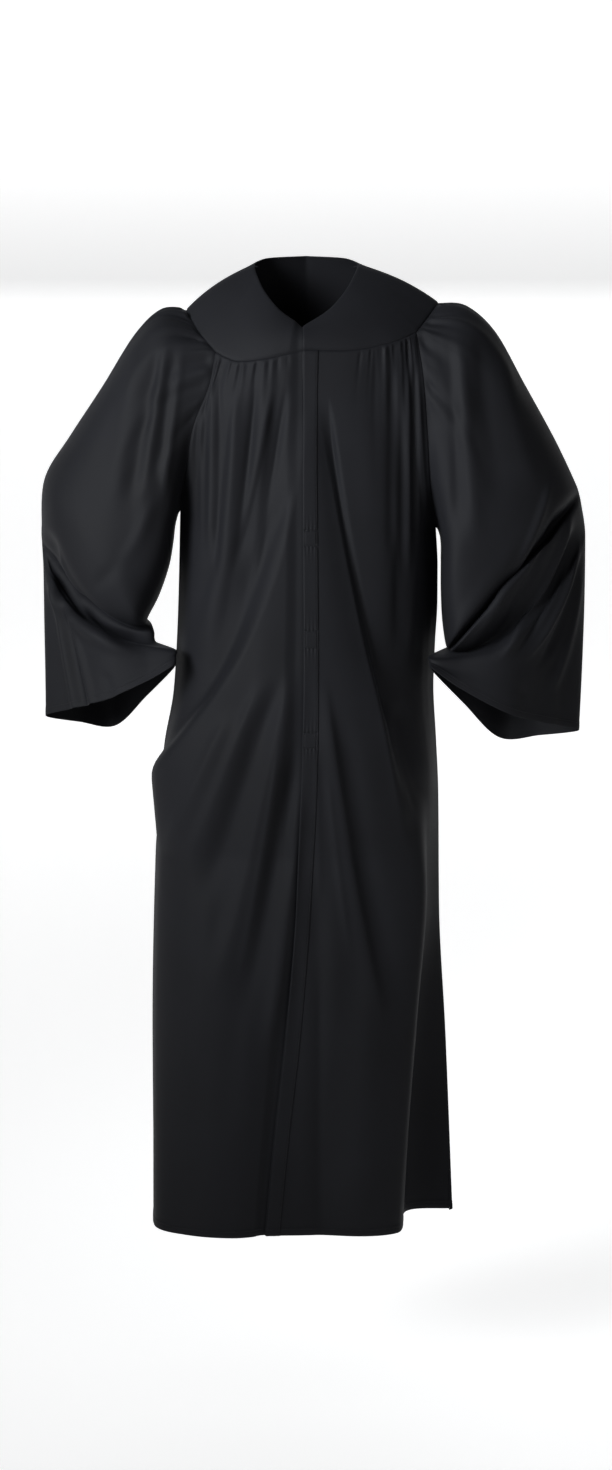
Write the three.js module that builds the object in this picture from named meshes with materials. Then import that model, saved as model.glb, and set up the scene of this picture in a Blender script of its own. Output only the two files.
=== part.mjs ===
// A barrister's gown, filled out as it is worn with both arms bent and the wrists at the hips.
// Millimetres, +Z up, -Y to the front, +X to the wearer's left. The origin is between the
// shoulders, level with the neck edge, where the yoke rests on the wearer.
//
// Every piece of cloth is a grid of points on its own smooth base surface, moved along the base
// normal by its folds, and given a wall behind that. Neighbours share the points of their seam.
import * as THREE from "three";

// Driving dimensions
const WALL = 1.8; // thickness of the cloth wall
const SEAM_GAP = 0.4; // space left between two pieces along a seam
const LAP_DEPTH = 3.4; // how far behind the left front the right one lies where it laps
const HEM_Z = -1357; // height of the bottom hem
const BAND_LIFT = 0.4; // the front band's distance from the panel under it
const BAND_WALL = 1.0;

// How finely each piece is divided
const FRONT_COLUMNS = 32;
const LAP_COLUMNS = 3; // columns of the left front that the right one passes under
const BAND_COLUMNS = 3; // columns of the left front that its band covers
const BACK_COLUMNS = 32;
const ARMHOLE_ROWS = 9;
const BODY_ROWS = 15;
const YOKE_END_COLUMNS = 10; // from the armhole's top end to the shoulder tip
const YOKE_ROWS = 3;
const SLEEVE_STEPS = 15;

// Gathers: how many, how deep below the seam, and how far they run
const FRONT_GATHERS = { count: 16, depth: 2.6, reach: 60, carry: 3.4, carryReach: 230, open: 14 };
const BACK_GATHERS = { count: 16, depth: 3.2, reach: 70, carry: 5, carryReach: 420, open: 14 };
const SLEEVE_GATHERS = {
  count: 19,
  depth: 3.2,
  reach: 0.09,
  carry: 4.5,
  carryReach: 0.3,
  open: 0.03,
};

// The yoke's front seam, from the centre front (0) out to the top of the armhole (1)
const YOKE_SEAM = {
  left: [
    { u: 0.0, x: -4, y: -113, z: -123 },
    { u: 0.3, x: 62, y: -108, z: -123 },
    { u: 0.6, x: 112, y: -96, z: -114 },
    { u: 0.8, x: 136, y: -84, z: -106 },
    { u: 1.0, x: 153, y: -71, z: -98 },
  ],
  right: [
    { u: 0.0, x: -4, y: -113, z: -123 },
    { u: 0.3, x: -52, y: -110, z: -134 },
    { u: 0.6, x: -92, y: -101, z: -138 },
    { u: 0.8, x: -110, y: -92, z: -133 },
    { u: 1.0, x: -125, y: -82, z: -125 },
  ],
};
// The yoke's end, from the top of the front armhole over the shoulder tip to the back armhole
const YOKE_END = {
  left: [
    { t: 0.0, x: 153, y: -71, z: -98 },
    { t: 0.5, x: 169, y: -42, z: -78 },
    { t: 1.0, x: 186, y: 2, z: -56 },
    { t: 1.5, x: 173, y: 50, z: -80 },
    { t: 2.0, x: 156, y: 86, z: -112 },
  ],
  right: [
    { t: 0.0, x: -125, y: -82, z: -125 },
    { t: 0.5, x: -149, y: -52, z: -97 },
    { t: 1.0, x: -168, y: 2, z: -66 },
    { t: 1.5, x: -160, y: 50, z: -88 },
    { t: 2.0, x: -147, y: 86, z: -118 },
  ],
};
// The yoke's back seam, from the wearer's left armhole (0) to the right one (1)
const YOKE_BACK_SEAM = [
  { u: 0.0, x: 156, y: 86, z: -112 },
  { u: 0.25, x: 84, y: 113, z: -138 },
  { u: 0.5, x: 3, y: 120, z: -143 },
  { u: 0.75, x: -78, y: 113, z: -140 },
  { u: 1.0, x: -147, y: 86, z: -118 },
];
// The neck edge: half of it, from the centre front (0) past the shoulder seam (1) to the back (2)
const NECK_EDGE = [
  { t: 0.0, x: 0, y: -90, z: -90 },
  { t: 0.35, x: 35, y: -74, z: -66 },
  { t: 0.7, x: 62, y: -38, z: -30 },
  { t: 1.0, x: 72, y: 6, z: -4 },
  { t: 1.4, x: 56, y: 48, z: 8 },
  { t: 2.0, x: 0, y: 68, z: 12 },
];
const YOKE_CROWN = 7; // how far the yoke bows out between the neck and its seam

// The armhole's two edges down to the underarm, and the side seam from there to the hem
const ARMHOLE_FRONT = {
  left: [
    { z: -98, x: 153, y: -71 },
    { z: -165, x: 163, y: -84 },
    { z: -228, x: 168, y: -84 },
    { z: -300, x: 173, y: -70 },
    { z: -345, x: 179, y: -38 },
    { z: -368, x: 184, y: 2 },
  ],
  right: [
    { z: -125, x: -125, y: -82 },
    { z: -165, x: -132, y: -90 },
    { z: -228, x: -156, y: -86 },
    { z: -290, x: -168, y: -68 },
    { z: -325, x: -174, y: -36 },
    { z: -345, x: -178, y: 2 },
  ],
};
const ARMHOLE_BACK = {
  left: [
    { z: -112, x: 156, y: 86 },
    { z: -165, x: 160, y: 104 },
    { z: -228, x: 163, y: 104 },
    { z: -300, x: 170, y: 80 },
    { z: -345, x: 178, y: 42 },
    { z: -368, x: 184, y: 2 },
  ],
  right: [
    { z: -118, x: -147, y: 86 },
    { z: -165, x: -152, y: 104 },
    { z: -228, x: -157, y: 104 },
    { z: -290, x: -165, y: 80 },
    { z: -325, x: -173, y: 42 },
    { z: -345, x: -178, y: 2 },
  ],
};
const SIDE_SEAM = {
  left: [
    { z: -368, x: 184, y: 2 },
    { z: -425, x: 187, y: 4 },
    { z: -470, x: 187, y: 4 },
    { z: -530, x: 184, y: 6 },
    { z: -590, x: 182, y: 8 },
    { z: -665, x: 186, y: 12 },
    { z: -745, x: 190, y: 18 },
    { z: -920, x: 193, y: 24 },
    { z: -1100, x: 203, y: 22 },
    { z: -1357, x: 214, y: 12 },
  ],
  right: [
    { z: -345, x: -178, y: 2 },
    { z: -459, x: -181, y: 4 },
    { z: -530, x: -184, y: 6 },
    { z: -600, x: -189, y: 8 },
    { z: -680, x: -203, y: 12 },
    { z: -750, x: -208, y: 14 },
    { z: -830, x: -216, y: 16 },
    { z: -1100, x: -222, y: 14 },
    { z: -1357, x: -221, y: 12 },
  ],
};

// Sections of each front below the yoke: the centre edge (c), the front of the figure (f), where
// the cloth turns (r) and where it falls in beside the side seam (v). Heights are at the seam.
const FRONT_SECTIONS = {
  left: [
    { z: -98, cx: -4, cy: -113, fx: 62, fy: -108, rx: 112, ry: -96, vx: 136, vy: -84 },
    { z: -200, cx: -4, cy: -120, fx: 58, fy: -117, rx: 112, ry: -104, vx: 142, vy: -96 },
    { z: -330, cx: -5, cy: -124, fx: 60, fy: -119, rx: 120, ry: -102, vx: 154, vy: -78 },
    { z: -460, cx: -5, cy: -126, fx: 62, fy: -120, rx: 124, ry: -98, vx: 162, vy: -56 },
    { z: -590, cx: -6, cy: -128, fx: 64, fy: -121, rx: 126, ry: -92, vx: 160, vy: -52 },
    { z: -720, cx: -8, cy: -129, fx: 66, fy: -124, rx: 140, ry: -96, vx: 172, vy: -50 },
    { z: -880, cx: -13, cy: -130, fx: 56, fy: -128, rx: 160, ry: -92, vx: 172, vy: -30 },
    { z: -1060, cx: -27, cy: -128, fx: 43, fy: -128, rx: 150, ry: -98, vx: 156, vy: -14 },
    { z: -1220, cx: -44, cy: -127, fx: 26, fy: -125, rx: 138, ry: -106, vx: 146, vy: -6 },
    { z: -1357, cx: -57, cy: -126, fx: 13, fy: -123, rx: 128, ry: -112, vx: 146, vy: -2 },
  ],
  right: [
    { z: -125, cx: -4, cy: -113, fx: -52, fy: -110, rx: -92, ry: -101, vx: -110, vy: -92 },
    { z: -200, cx: -4, cy: -120, fx: -56, fy: -117, rx: -104, ry: -106, vx: -130, vy: -96 },
    { z: -330, cx: -5, cy: -124, fx: -60, fy: -120, rx: -120, ry: -103, vx: -152, vy: -74 },
    { z: -460, cx: -5, cy: -126, fx: -62, fy: -121, rx: -126, ry: -98, vx: -160, vy: -58 },
    { z: -590, cx: -6, cy: -128, fx: -66, fy: -122, rx: -132, ry: -96, vx: -168, vy: -56 },
    { z: -720, cx: -8, cy: -129, fx: -75, fy: -126, rx: -152, ry: -104, vx: -196, vy: -58 },
    { z: -880, cx: -13, cy: -130, fx: -80, fy: -129, rx: -160, ry: -108, vx: -204, vy: -56 },
    { z: -1060, cx: -27, cy: -127, fx: -88, fy: -133, rx: -166, ry: -110, vx: -210, vy: -56 },
    { z: -1220, cx: -44, cy: -126, fx: -96, fy: -136, rx: -169, ry: -115, vx: -212, vy: -68 },
    { z: -1357, cx: -57, cy: -125, fx: -104, fy: -137, rx: -170, ry: -120, vx: -213, vy: -82 },
  ],
};
// Sections of the back, from the wearer's left to the right: turn (l), centre (b), turn (r)
const BACK_SECTIONS = [
  { z: -115, lx: 84, ly: 113, bx: 3, by: 120, rx: -78, ry: 113 },
  { z: -220, lx: 96, ly: 130, bx: 2, by: 134, rx: -92, ry: 130 },
  { z: -360, lx: 112, ly: 124, bx: 0, by: 132, rx: -108, ry: 124 },
  { z: -520, lx: 116, ly: 122, bx: -2, by: 128, rx: -118, ry: 122 },
  { z: -700, lx: 122, ly: 142, bx: -6, by: 148, rx: -132, ry: 142 },
  { z: -950, lx: 130, ly: 162, bx: -6, by: 172, rx: -140, ry: 160 },
  { z: -1357, lx: 140, ly: 176, bx: -4, by: 192, rx: -146, ry: 174 },
];

// The belly of the front, which the hands push forward: its two edges and how far it stands out
const BELLY = [
  { z: -200, from: -6, to: 22, rise: 0, fromSoft: 30, toSoft: 16 },
  { z: -312, from: -26, to: 42, rise: 8, fromSoft: 32, toSoft: 14 },
  { z: -408, from: -48, to: 60, rise: 14, fromSoft: 34, toSoft: 14 },
  { z: -517, from: -86, to: 81, rise: 22, fromSoft: 34, toSoft: 15 },
  { z: -590, from: -124, to: 94, rise: 26, fromSoft: 32, toSoft: 15 },
  { z: -655, from: -168, to: 108, rise: 24, fromSoft: 34, toSoft: 16 },
  { z: -725, from: -222, to: 126, rise: 15, fromSoft: 36, toSoft: 20 },
  { z: -820, from: -262, to: 152, rise: 0, fromSoft: 40, toSoft: 28 },
];
// Folds of the front, seen from the front: a line from (x0, z0) to (x1, z1) that bows sideways,
// its half width at each end, its height (a trough is below zero) and how lopsided it is
const FRONT_FOLDS = [
  { x0: -39, z0: -170, x1: -100, z1: -430, bow: 6, w0: 7, w1: 12, high: -8, lean: 0.3 },
  { x0: -27, z0: -175, x1: -104, z1: -520, bow: 5, w0: 7, w1: 12, high: -7, lean: -0.2 },
  { x0: -54, z0: -175, x1: -118, z1: -470, bow: 8, w0: 9, w1: 15, high: 7, lean: 0 },
  { x0: -72, z0: -170, x1: -128, z1: -560, bow: 10, w0: 9, w1: 13, high: -7, lean: 0.2 },
  { x0: -96, z0: -160, x1: -150, z1: -560, bow: 14, w0: 9, w1: 16, high: 7, lean: 0 },
  { x0: -112, z0: -190, x1: -160, z1: -520, bow: 14, w0: 8, w1: 13, high: -6, lean: 0 },
  { x0: -16, z0: -290, x1: -150, z1: -640, bow: 4, w0: 12, w1: 20, high: -9, lean: -0.3 },
  { x0: 28, z0: -180, x1: 100, z1: -610, bow: -8, w0: 9, w1: 22, high: -13, lean: -0.6 },
  { x0: 84, z0: -180, x1: 108, z1: -560, bow: 4, w0: 26, w1: 24, high: 6, lean: 0 },
  { x0: 122, z0: -130, x1: 124, z1: -560, bow: 4, w0: 7, w1: 10, high: -7, lean: 0.2 },
  { x0: 132, z0: -130, x1: 132, z1: -520, bow: 5, w0: 6, w1: 10, high: 6, lean: 0 },
  { x0: 143, z0: -130, x1: 140, z1: -480, bow: 6, w0: 6, w1: 9, high: -6, lean: 0 },
  { x0: 152, z0: -150, x1: 138, z1: -600, bow: 6, w0: 6, w1: 10, high: 6, lean: 0 },
  { x0: -16, z0: -540, x1: -132, z1: -1040, bow: 6, w0: 12, w1: 24, high: 12, lean: 0.2 },
  { x0: -50, z0: -560, x1: -176, z1: -860, bow: 4, w0: 12, w1: 20, high: 10, lean: 0.3 },
  { x0: -34, z0: -560, x1: -150, z1: -900, bow: 2, w0: 11, w1: 20, high: -9, lean: 0 },
  { x0: -92, z0: -610, x1: -200, z1: -830, bow: 2, w0: 12, w1: 18, high: 9, lean: 0.3 },
  { x0: -10, z0: -640, x1: -92, z1: -1060, bow: 2, w0: 9, w1: 18, high: -9, lean: 0 },
  { x0: -8, z0: -700, x1: -60, z1: -1130, bow: 4, w0: 8, w1: 17, high: 10, lean: 0.2 },
  { x0: -6, z0: -900, x1: -26, z1: -1400, bow: 0, w0: 10, w1: 20, high: -5, lean: 0 },
  { x0: 14, z0: -820, x1: 20, z1: -1400, bow: 0, w0: 14, w1: 26, high: -9, lean: 0 },
  { x0: 22, z0: -560, x1: 112, z1: -1080, bow: -6, w0: 9, w1: 14, high: 10, lean: -0.4 },
  { x0: 42, z0: -600, x1: 128, z1: -1040, bow: -4, w0: 12, w1: 22, high: -8, lean: 0 },
  { x0: 106, z0: -600, x1: 152, z1: -790, bow: -5, w0: 9, w1: 11, high: 9, lean: -0.3 },
  { x0: 126, z0: -600, x1: 170, z1: -760, bow: -4, w0: 10, w1: 14, high: -8, lean: 0 },
  { x0: -120, z0: -900, x1: -136, z1: -1400, bow: 0, w0: 26, w1: 34, high: 7, lean: 0 },
  { x0: 92, z0: -960, x1: 74, z1: -1400, bow: 0, w0: 26, w1: 34, high: 12, lean: 0 },
];
// Folds of the back, in the same columns
const BACK_FOLDS = [
  { x0: 6, z0: -170, x1: 2, z1: -1420, bow: 6, w0: 12, w1: 30, high: 12, lean: 0.2 },
  { x0: 40, z0: -190, x1: 56, z1: -1420, bow: -4, w0: 12, w1: 26, high: -12, lean: 0 },
  { x0: 66, z0: -170, x1: 96, z1: -1420, bow: 6, w0: 11, w1: 26, high: 11, lean: -0.3 },
  { x0: 100, z0: -190, x1: 138, z1: -1420, bow: 4, w0: 11, w1: 24, high: -10, lean: 0 },
  { x0: 124, z0: -220, x1: 170, z1: -1420, bow: 4, w0: 10, w1: 22, high: 9, lean: 0 },
  { x0: -34, z0: -185, x1: -52, z1: -1420, bow: -5, w0: 12, w1: 28, high: -12, lean: 0 },
  { x0: -62, z0: -175, x1: -98, z1: -1420, bow: -4, w0: 11, w1: 25, high: 12, lean: 0.2 },
  { x0: -94, z0: -195, x1: -142, z1: -1420, bow: -3, w0: 11, w1: 24, high: -10, lean: 0 },
  { x0: -120, z0: -220, x1: -178, z1: -1420, bow: -3, w0: 10, w1: 22, high: 8, lean: 0 },
  { x0: 20, z0: -330, x1: 150, z1: -620, bow: -10, w0: 12, w1: 18, high: -6, lean: 0 },
  { x0: -20, z0: -340, x1: -150, z1: -640, bow: 10, w0: 12, w1: 18, high: -6, lean: 0 },
];

// Sections of a sleeve, from the armhole along the arm to the cuff. Each is a ring through its
// outer point (o), the middle of its front, its inner point (i) and the middle of its back.
// front and back are how far the middles stand before and behind the ring's own centre, drop
// how far they hang below it, and full how square the ring is at its outer points, its inner
// front and its inner back (0.5 is straight, 0.71 is round).
const SLEEVE_RINGS = {
  left: [
    { ox: 186, oy: 2, oz: -56, ix: 184, iy: 2, iz: -368, front: 88, frontDrop: -14, back: 108, backDrop: -14, fullOuter: 0.74, fullFront: 0.74, fullBack: 0.74 },
    { ox: 224, oy: 6, oz: -60, ix: 190, iy: 2, iz: -388, front: 102, frontDrop: 0, back: 104, backDrop: 0, fullOuter: 0.76, fullFront: 0.84, fullBack: 0.76 },
    { ox: 266, oy: 18, oz: -96, ix: 190, iy: 2, iz: -418, front: 108, frontDrop: 0, back: 108, backDrop: 0, fullOuter: 0.76, fullFront: 0.86, fullBack: 0.74 },
    { ox: 308, oy: 28, oz: -168, ix: 190, iy: 0, iz: -454, front: 112, frontDrop: 0, back: 112, backDrop: 4, fullOuter: 0.76, fullFront: 0.86, fullBack: 0.72 },
    { ox: 352, oy: 36, oz: -246, ix: 192, iy: -4, iz: -496, front: 110, frontDrop: 2, back: 116, backDrop: 8, fullOuter: 0.75, fullFront: 0.84, fullBack: 0.7 },
    { ox: 381, oy: 44, oz: -305, ix: 197, iy: -14, iz: -532, front: 98, frontDrop: -8, back: 118, backDrop: 12, fullOuter: 0.74, fullFront: 0.84, fullBack: 0.68 },
    { ox: 388, oy: 48, oz: -322, ix: 202, iy: -20, iz: -538, front: 60, frontDrop: -4, back: 120, backDrop: 16, fullOuter: 0.72, fullFront: 0.8, fullBack: 0.66 },
    { ox: 392, oy: 49, oz: -340, ix: 204, iy: -30, iz: -540, front: 84, frontDrop: -9, back: 121, backDrop: 20, fullOuter: 0.7, fullFront: 0.86, fullBack: 0.66 },
    { ox: 397, oy: 49, oz: -368, ix: 206, iy: -40, iz: -540, front: 52, frontDrop: 34, back: 122, backDrop: 24, fullOuter: 0.68, fullFront: 0.66, fullBack: 0.66 },
    { ox: 398, oy: 47, oz: -396, ix: 172, iy: -75, iz: -544, front: 66, frontDrop: 58, back: 122, backDrop: 28, fullOuter: 0.68, fullFront: 0.57, fullBack: 0.62 },
    { ox: 397, oy: 40, oz: -488, ix: 170, iy: -80, iz: -550, front: 62, frontDrop: 44, back: 120, backDrop: 40, fullOuter: 0.6, fullFront: 0.6, fullBack: 0.58 },
    { ox: 393, oy: 26, oz: -584, ix: 171, iy: -86, iz: -554, front: 54, frontDrop: 24, back: 118, backDrop: 52, fullOuter: 0.54, fullFront: 0.62, fullBack: 0.54 },
    { ox: 389, oy: 15, oz: -658, ix: 171, iy: -92, iz: -558, front: 46, frontDrop: 15, back: 116, backDrop: 68, fullOuter: 0.52, fullFront: 0.62, fullBack: 0.52 },
  ],
  right: [
    { ox: -168, oy: 2, oz: -66, ix: -178, iy: 2, iz: -345, front: 88, frontDrop: -14, back: 108, backDrop: -14, fullOuter: 0.74, fullFront: 0.74, fullBack: 0.74 },
    { ox: -202, oy: 6, oz: -66, ix: -184, iy: 2, iz: -366, front: 100, frontDrop: 0, back: 104, backDrop: 0, fullOuter: 0.76, fullFront: 0.84, fullBack: 0.76 },
    { ox: -240, oy: 20, oz: -99, ix: -187, iy: 1, iz: -392, front: 106, frontDrop: 0, back: 108, backDrop: 0, fullOuter: 0.76, fullFront: 0.84, fullBack: 0.74 },
    { ox: -287, oy: 34, oz: -171, ix: -193, iy: -1, iz: -424, front: 112, frontDrop: 0, back: 112, backDrop: 4, fullOuter: 0.76, fullFront: 0.82, fullBack: 0.72 },
    { ox: -333, oy: 43, oz: -239, ix: -207, iy: -5, iz: -464, front: 114, frontDrop: 2, back: 116, backDrop: 8, fullOuter: 0.75, fullFront: 0.8, fullBack: 0.7 },
    { ox: -371, oy: 50, oz: -300, ix: -223, iy: -16, iz: -496, front: 106, frontDrop: 6, back: 118, backDrop: 12, fullOuter: 0.74, fullFront: 0.8, fullBack: 0.68 },
    { ox: -377, oy: 55, oz: -368, ix: -217, iy: -25, iz: -504, front: 90, frontDrop: 39, back: 120, backDrop: 16, fullOuter: 0.72, fullFront: 0.6, fullBack: 0.66 },
    { ox: -377, oy: 55, oz: -392, ix: -213, iy: -30, iz: -514, front: 36, frontDrop: 33, back: 121, backDrop: 20, fullOuter: 0.68, fullFront: 0.6, fullBack: 0.66 },
    { ox: -376, oy: 54, oz: -410, ix: -209, iy: -42, iz: -528, front: 44, frontDrop: 36, back: 122, backDrop: 24, fullOuter: 0.66, fullFront: 0.6, fullBack: 0.66 },
    { ox: -375, oy: 52, oz: -432, ix: -181, iy: -75, iz: -535, front: 58, frontDrop: 43, back: 122, backDrop: 28, fullOuter: 0.64, fullFront: 0.5, fullBack: 0.62 },
    { ox: -374, oy: 44, oz: -502, ix: -180, iy: -82, iz: -543, front: 56, frontDrop: 37, back: 120, backDrop: 42, fullOuter: 0.58, fullFront: 0.58, fullBack: 0.58 },
    { ox: -372, oy: 30, oz: -578, ix: -180, iy: -88, iz: -549, front: 50, frontDrop: 27, back: 118, backDrop: 52, fullOuter: 0.54, fullFront: 0.58, fullBack: 0.54 },
    { ox: -371, oy: 20, oz: -638, ix: -181, iy: -91, iz: -556, front: 45, frontDrop: 6, back: 116, backDrop: 62, fullOuter: 0.52, fullFront: 0.6, fullBack: 0.52 },
  ],
};
// Folds of the sleeves' fronts, seen from the front, in the columns of the fronts' folds
const SLEEVE_FOLDS = {
  left: [
    { x0: 190, z0: -90, x1: 196, z1: -360, bow: 3, w0: 8, w1: 14, high: -8, lean: 0 },
    { x0: 204, z0: -90, x1: 228, z1: -400, bow: -3, w0: 10, w1: 18, high: 7, lean: 0 },
    { x0: 232, z0: -90, x1: 268, z1: -340, bow: -6, w0: 10, w1: 18, high: -6, lean: 0 },
    { x0: 262, z0: -110, x1: 320, z1: -330, bow: -8, w0: 12, w1: 20, high: 6, lean: 0 },
    { x0: 350, z0: -560, x1: 340, z1: -680, bow: 0, w0: 10, w1: 16, high: 5, lean: 0 },
  ],
  right: [
    { x0: -192, z0: -90, x1: -228, z1: -330, bow: 6, w0: 8, w1: 14, high: -8, lean: 0 },
    { x0: -176, z0: -100, x1: -212, z1: -420, bow: 6, w0: 8, w1: 16, high: 8, lean: 0 },
    { x0: -160, z0: -110, x1: -186, z1: -330, bow: 5, w0: 7, w1: 12, high: -7, lean: 0 },
    { x0: -220, z0: -110, x1: -262, z1: -360, bow: 6, w0: 12, w1: 20, high: 6, lean: 0 },
    { x0: -350, z0: -500, x1: -310, z1: -660, bow: -4, w0: 8, w1: 12, high: 5, lean: 0 },
  ],
};

const SIGN = { left: 1, right: -1 };
const lerp = (a, b, t) => a + (b - a) * t;
const smooth = (t) => {
  const c = Math.min(1, Math.max(0, t));
  return c * c * (3 - 2 * c);
};

// Every column of a table at one value of its key column, on curves that never overshoot
function along(rows, key, at) {
  const order = rows[1][key] > rows[0][key] ? 1 : -1;
  let i = 0;
  while (i < rows.length - 2 && order * (at - rows[i + 1][key]) > 0) i++;
  const step = (j) => rows[j + 1][key] - rows[j][key];
  const t = Math.min(1, Math.max(0, (at - rows[i][key]) / step(i)));
  const result = {};
  for (const name of Object.keys(rows[0])) {
    const rise = (j) => (rows[j + 1][name] - rows[j][name]) / step(j);
    const slope = (j) => {
      if (j === 0) return rise(0);
      if (j === rows.length - 1) return rise(j - 1);
      const a = rise(j - 1);
      const b = rise(j);
      return a * b <= 0 ? 0 : (2 * a * b) / (a + b);
    };
    const t2 = t * t;
    const t3 = t2 * t;
    result[name] =
      (2 * t3 - 3 * t2 + 1) * rows[i][name] +
      (t3 - 2 * t2 + t) * step(i) * slope(i) +
      (3 * t2 - 2 * t3) * rows[i + 1][name] +
      (t3 - t2) * step(i) * slope(i + 1);
  }
  return result;
}

// A point of the curve that passes evenly through a list of points, at t from 0 to their last index
function through(points, t, closed = false) {
  const n = points.length;
  const at = (i) => points[closed ? ((i % n) + n) % n : Math.min(n - 1, Math.max(0, i))];
  const i = closed ? Math.floor(t) : Math.min(n - 2, Math.floor(t));
  const f = t - i;
  const [a, b, c, d] = [at(i - 1), at(i), at(i + 1), at(i + 2)];
  return b.map(
    (_, k) =>
      0.5 *
      (2 * b[k] +
        (c[k] - a[k]) * f +
        (2 * a[k] - 5 * b[k] + 4 * c[k] - d[k]) * f * f +
        (3 * b[k] - a[k] - 3 * c[k] + d[k]) * f * f * f),
  );
}

// The height of a table of folds at a place seen from the front or the back
function foldHeight(folds, x, z) {
  let height = 0;
  for (const f of folds) {
    const t = (z - f.z0) / (f.z1 - f.z0);
    if (t <= 0 || t >= 1) continue;
    const middle = lerp(f.x0, f.x1, t) + f.bow * 4 * t * (1 - t);
    const aside = x - middle;
    const width = lerp(f.w0, f.w1, t) * (1 + (aside < 0 ? -f.lean : f.lean));
    height += f.high * Math.exp(-((aside / width) ** 2)) * smooth(t * 5) * smooth((1 - t) * 4);
  }
  return height;
}

function bellyRise(x, z) {
  const b = along(BELLY, "z", z);
  return b.rise * smooth((x - b.from) / b.fromSoft + 0.5) * smooth((b.to - x) / b.toSoft + 0.5);
}

// Gathers across a seam: fine ones that fade soon, and half as many that run on down the cloth
function gathers(kind, across, below) {
  const phase = 2 * Math.PI * kind.count * across;
  const uneven = 0.75 + 0.25 * Math.sin(0.29 * phase + 1);
  const fine = kind.depth * uneven * Math.cos(phase) * Math.exp(-below / kind.reach);
  const wander = phase * 0.31 + 0.9 * Math.sin(9 * across);
  const long = kind.carry * Math.cos(wander) * Math.exp(-below / kind.carryReach);
  return (fine + long * smooth(below / (kind.reach * 1.5))) * smooth(below / kind.open);
}

// Heights of a panel's rows along its side edge: down the armhole, then down the side seam
function edgeHeights(armhole) {
  const top = armhole[0].z;
  const under = armhole[armhole.length - 1].z;
  const rows = [];
  for (let i = 0; i <= ARMHOLE_ROWS; i++)
    rows.push(lerp(top, under, 1 - (1 - i / ARMHOLE_ROWS) ** 1.2));
  for (let i = 1; i <= BODY_ROWS; i++)
    rows.push(lerp(under, HEM_Z, (i / BODY_ROWS) ** 1.25));
  return rows;
}

// Where a panel's side edge runs at a row, which may lie between two rows
function edgeAt(armhole, sideSeam, row) {
  const heights = edgeHeights(armhole);
  const i = Math.min(heights.length - 2, Math.floor(row));
  const z = lerp(heights[i], heights[i + 1], row - i);
  const p = along(z > sideSeam[0].z ? armhole : sideSeam, "z", z);
  return new THREE.Vector3(p.x, p.y, z);
}

// How far down the panel a row lies at its side edge, from 0 at the yoke to 1 at the hem
function edgeShare(armhole, row) {
  const heights = edgeHeights(armhole);
  const i = Math.min(heights.length - 2, Math.floor(row));
  return (lerp(heights[i], heights[i + 1], row - i) - heights[0]) / (HEM_Z - heights[0]);
}

// A section of one front through its table's points at one height, ending at its side edge
function frontSection(side, z, edge, u) {
  const s = along(FRONT_SECTIONS[side], "z", z);
  return throughKnots(
    [
      { u: 0, x: s.cx, y: s.cy },
      { u: 0.3, x: s.fx, y: s.fy },
      { u: 0.6, x: s.rx, y: s.ry },
      { u: 0.8, x: s.vx, y: s.vy },
      { u: 1, x: edge.x, y: edge.y },
    ],
    u,
  );
}

// The base surface of a front: u from the centre edge to the side, row from the yoke to the hem
function frontBase(side) {
  const armhole = ARMHOLE_FRONT[side];
  return (u, row) => {
    const edge = edgeAt(armhole, SIDE_SEAM[side], row);
    const top = throughKnots(YOKE_SEAM[side], u);
    const centre = (edgeShare(ARMHOLE_FRONT.left, row) + edgeShare(ARMHOLE_FRONT.right, row)) / 2;
    const down = lerp(centre, edgeShare(armhole, row), smooth(u));
    const z = lerp(top.z, HEM_Z, down);
    const p = frontSection(side, z, edge, u);
    const first = frontSection(side, top.z, edgeAt(armhole, SIDE_SEAM[side], 0), u);
    const fade = (1 - Math.min(1, row / 4)) ** 2;
    return new THREE.Vector3(p.x + (top.x - first.x) * fade, p.y + (top.y - first.y) * fade, z);
  };
}

// A smooth curve through points at uneven values of u, which may turn back on itself
function throughKnots(knots, u) {
  let i = 0;
  while (i < knots.length - 2 && u > knots[i + 1].u) i++;
  const span = knots[i + 1].u - knots[i].u;
  const t = (u - knots[i].u) / span;
  const result = {};
  for (const name of Object.keys(knots[0])) {
    const slope = (j) => {
      const a = Math.max(0, j - 1);
      const b = Math.min(knots.length - 1, j + 1);
      return (knots[b][name] - knots[a][name]) / (knots[b].u - knots[a].u);
    };
    result[name] =
      (2 * t ** 3 - 3 * t ** 2 + 1) * knots[i][name] +
      (t ** 3 - 2 * t ** 2 + t) * span * slope(i) +
      (3 * t ** 2 - 2 * t ** 3) * knots[i + 1][name] +
      (t ** 3 - t ** 2) * span * slope(i + 1);
  }
  return result;
}

// A section of the back at one height, between the two side edges
function backSection(z, left, right, u) {
  const s = along(BACK_SECTIONS, "z", z);
  return throughKnots(
    [
      { u: 0, x: left.x, y: left.y },
      { u: 0.25, x: s.lx, y: s.ly },
      { u: 0.5, x: s.bx, y: s.by },
      { u: 0.75, x: s.rx, y: s.ry },
      { u: 1, x: right.x, y: right.y },
    ],
    u,
  );
}

// The base surface of the back: u from the wearer's left side seam to the right one
function backBase(u, row) {
  const [left, right] = ["left", "right"].map((side) =>
    edgeAt(ARMHOLE_BACK[side], SIDE_SEAM[side], row),
  );
  const [first, last] = ["left", "right"].map((side) =>
    edgeAt(ARMHOLE_BACK[side], SIDE_SEAM[side], 0),
  );
  const down = lerp(edgeShare(ARMHOLE_BACK.left, row), edgeShare(ARMHOLE_BACK.right, row), u);
  const top = throughKnots(YOKE_BACK_SEAM, u);
  const z = lerp(top.z, HEM_Z, down);
  const p = backSection(z, left, right, u);
  const start = backSection(top.z, first, last, u);
  const fade = (1 - Math.min(1, row / 4)) ** 2;
  return new THREE.Vector3(p.x + (top.x - start.x) * fade, p.y + (top.y - start.y) * fade, z);
}

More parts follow.
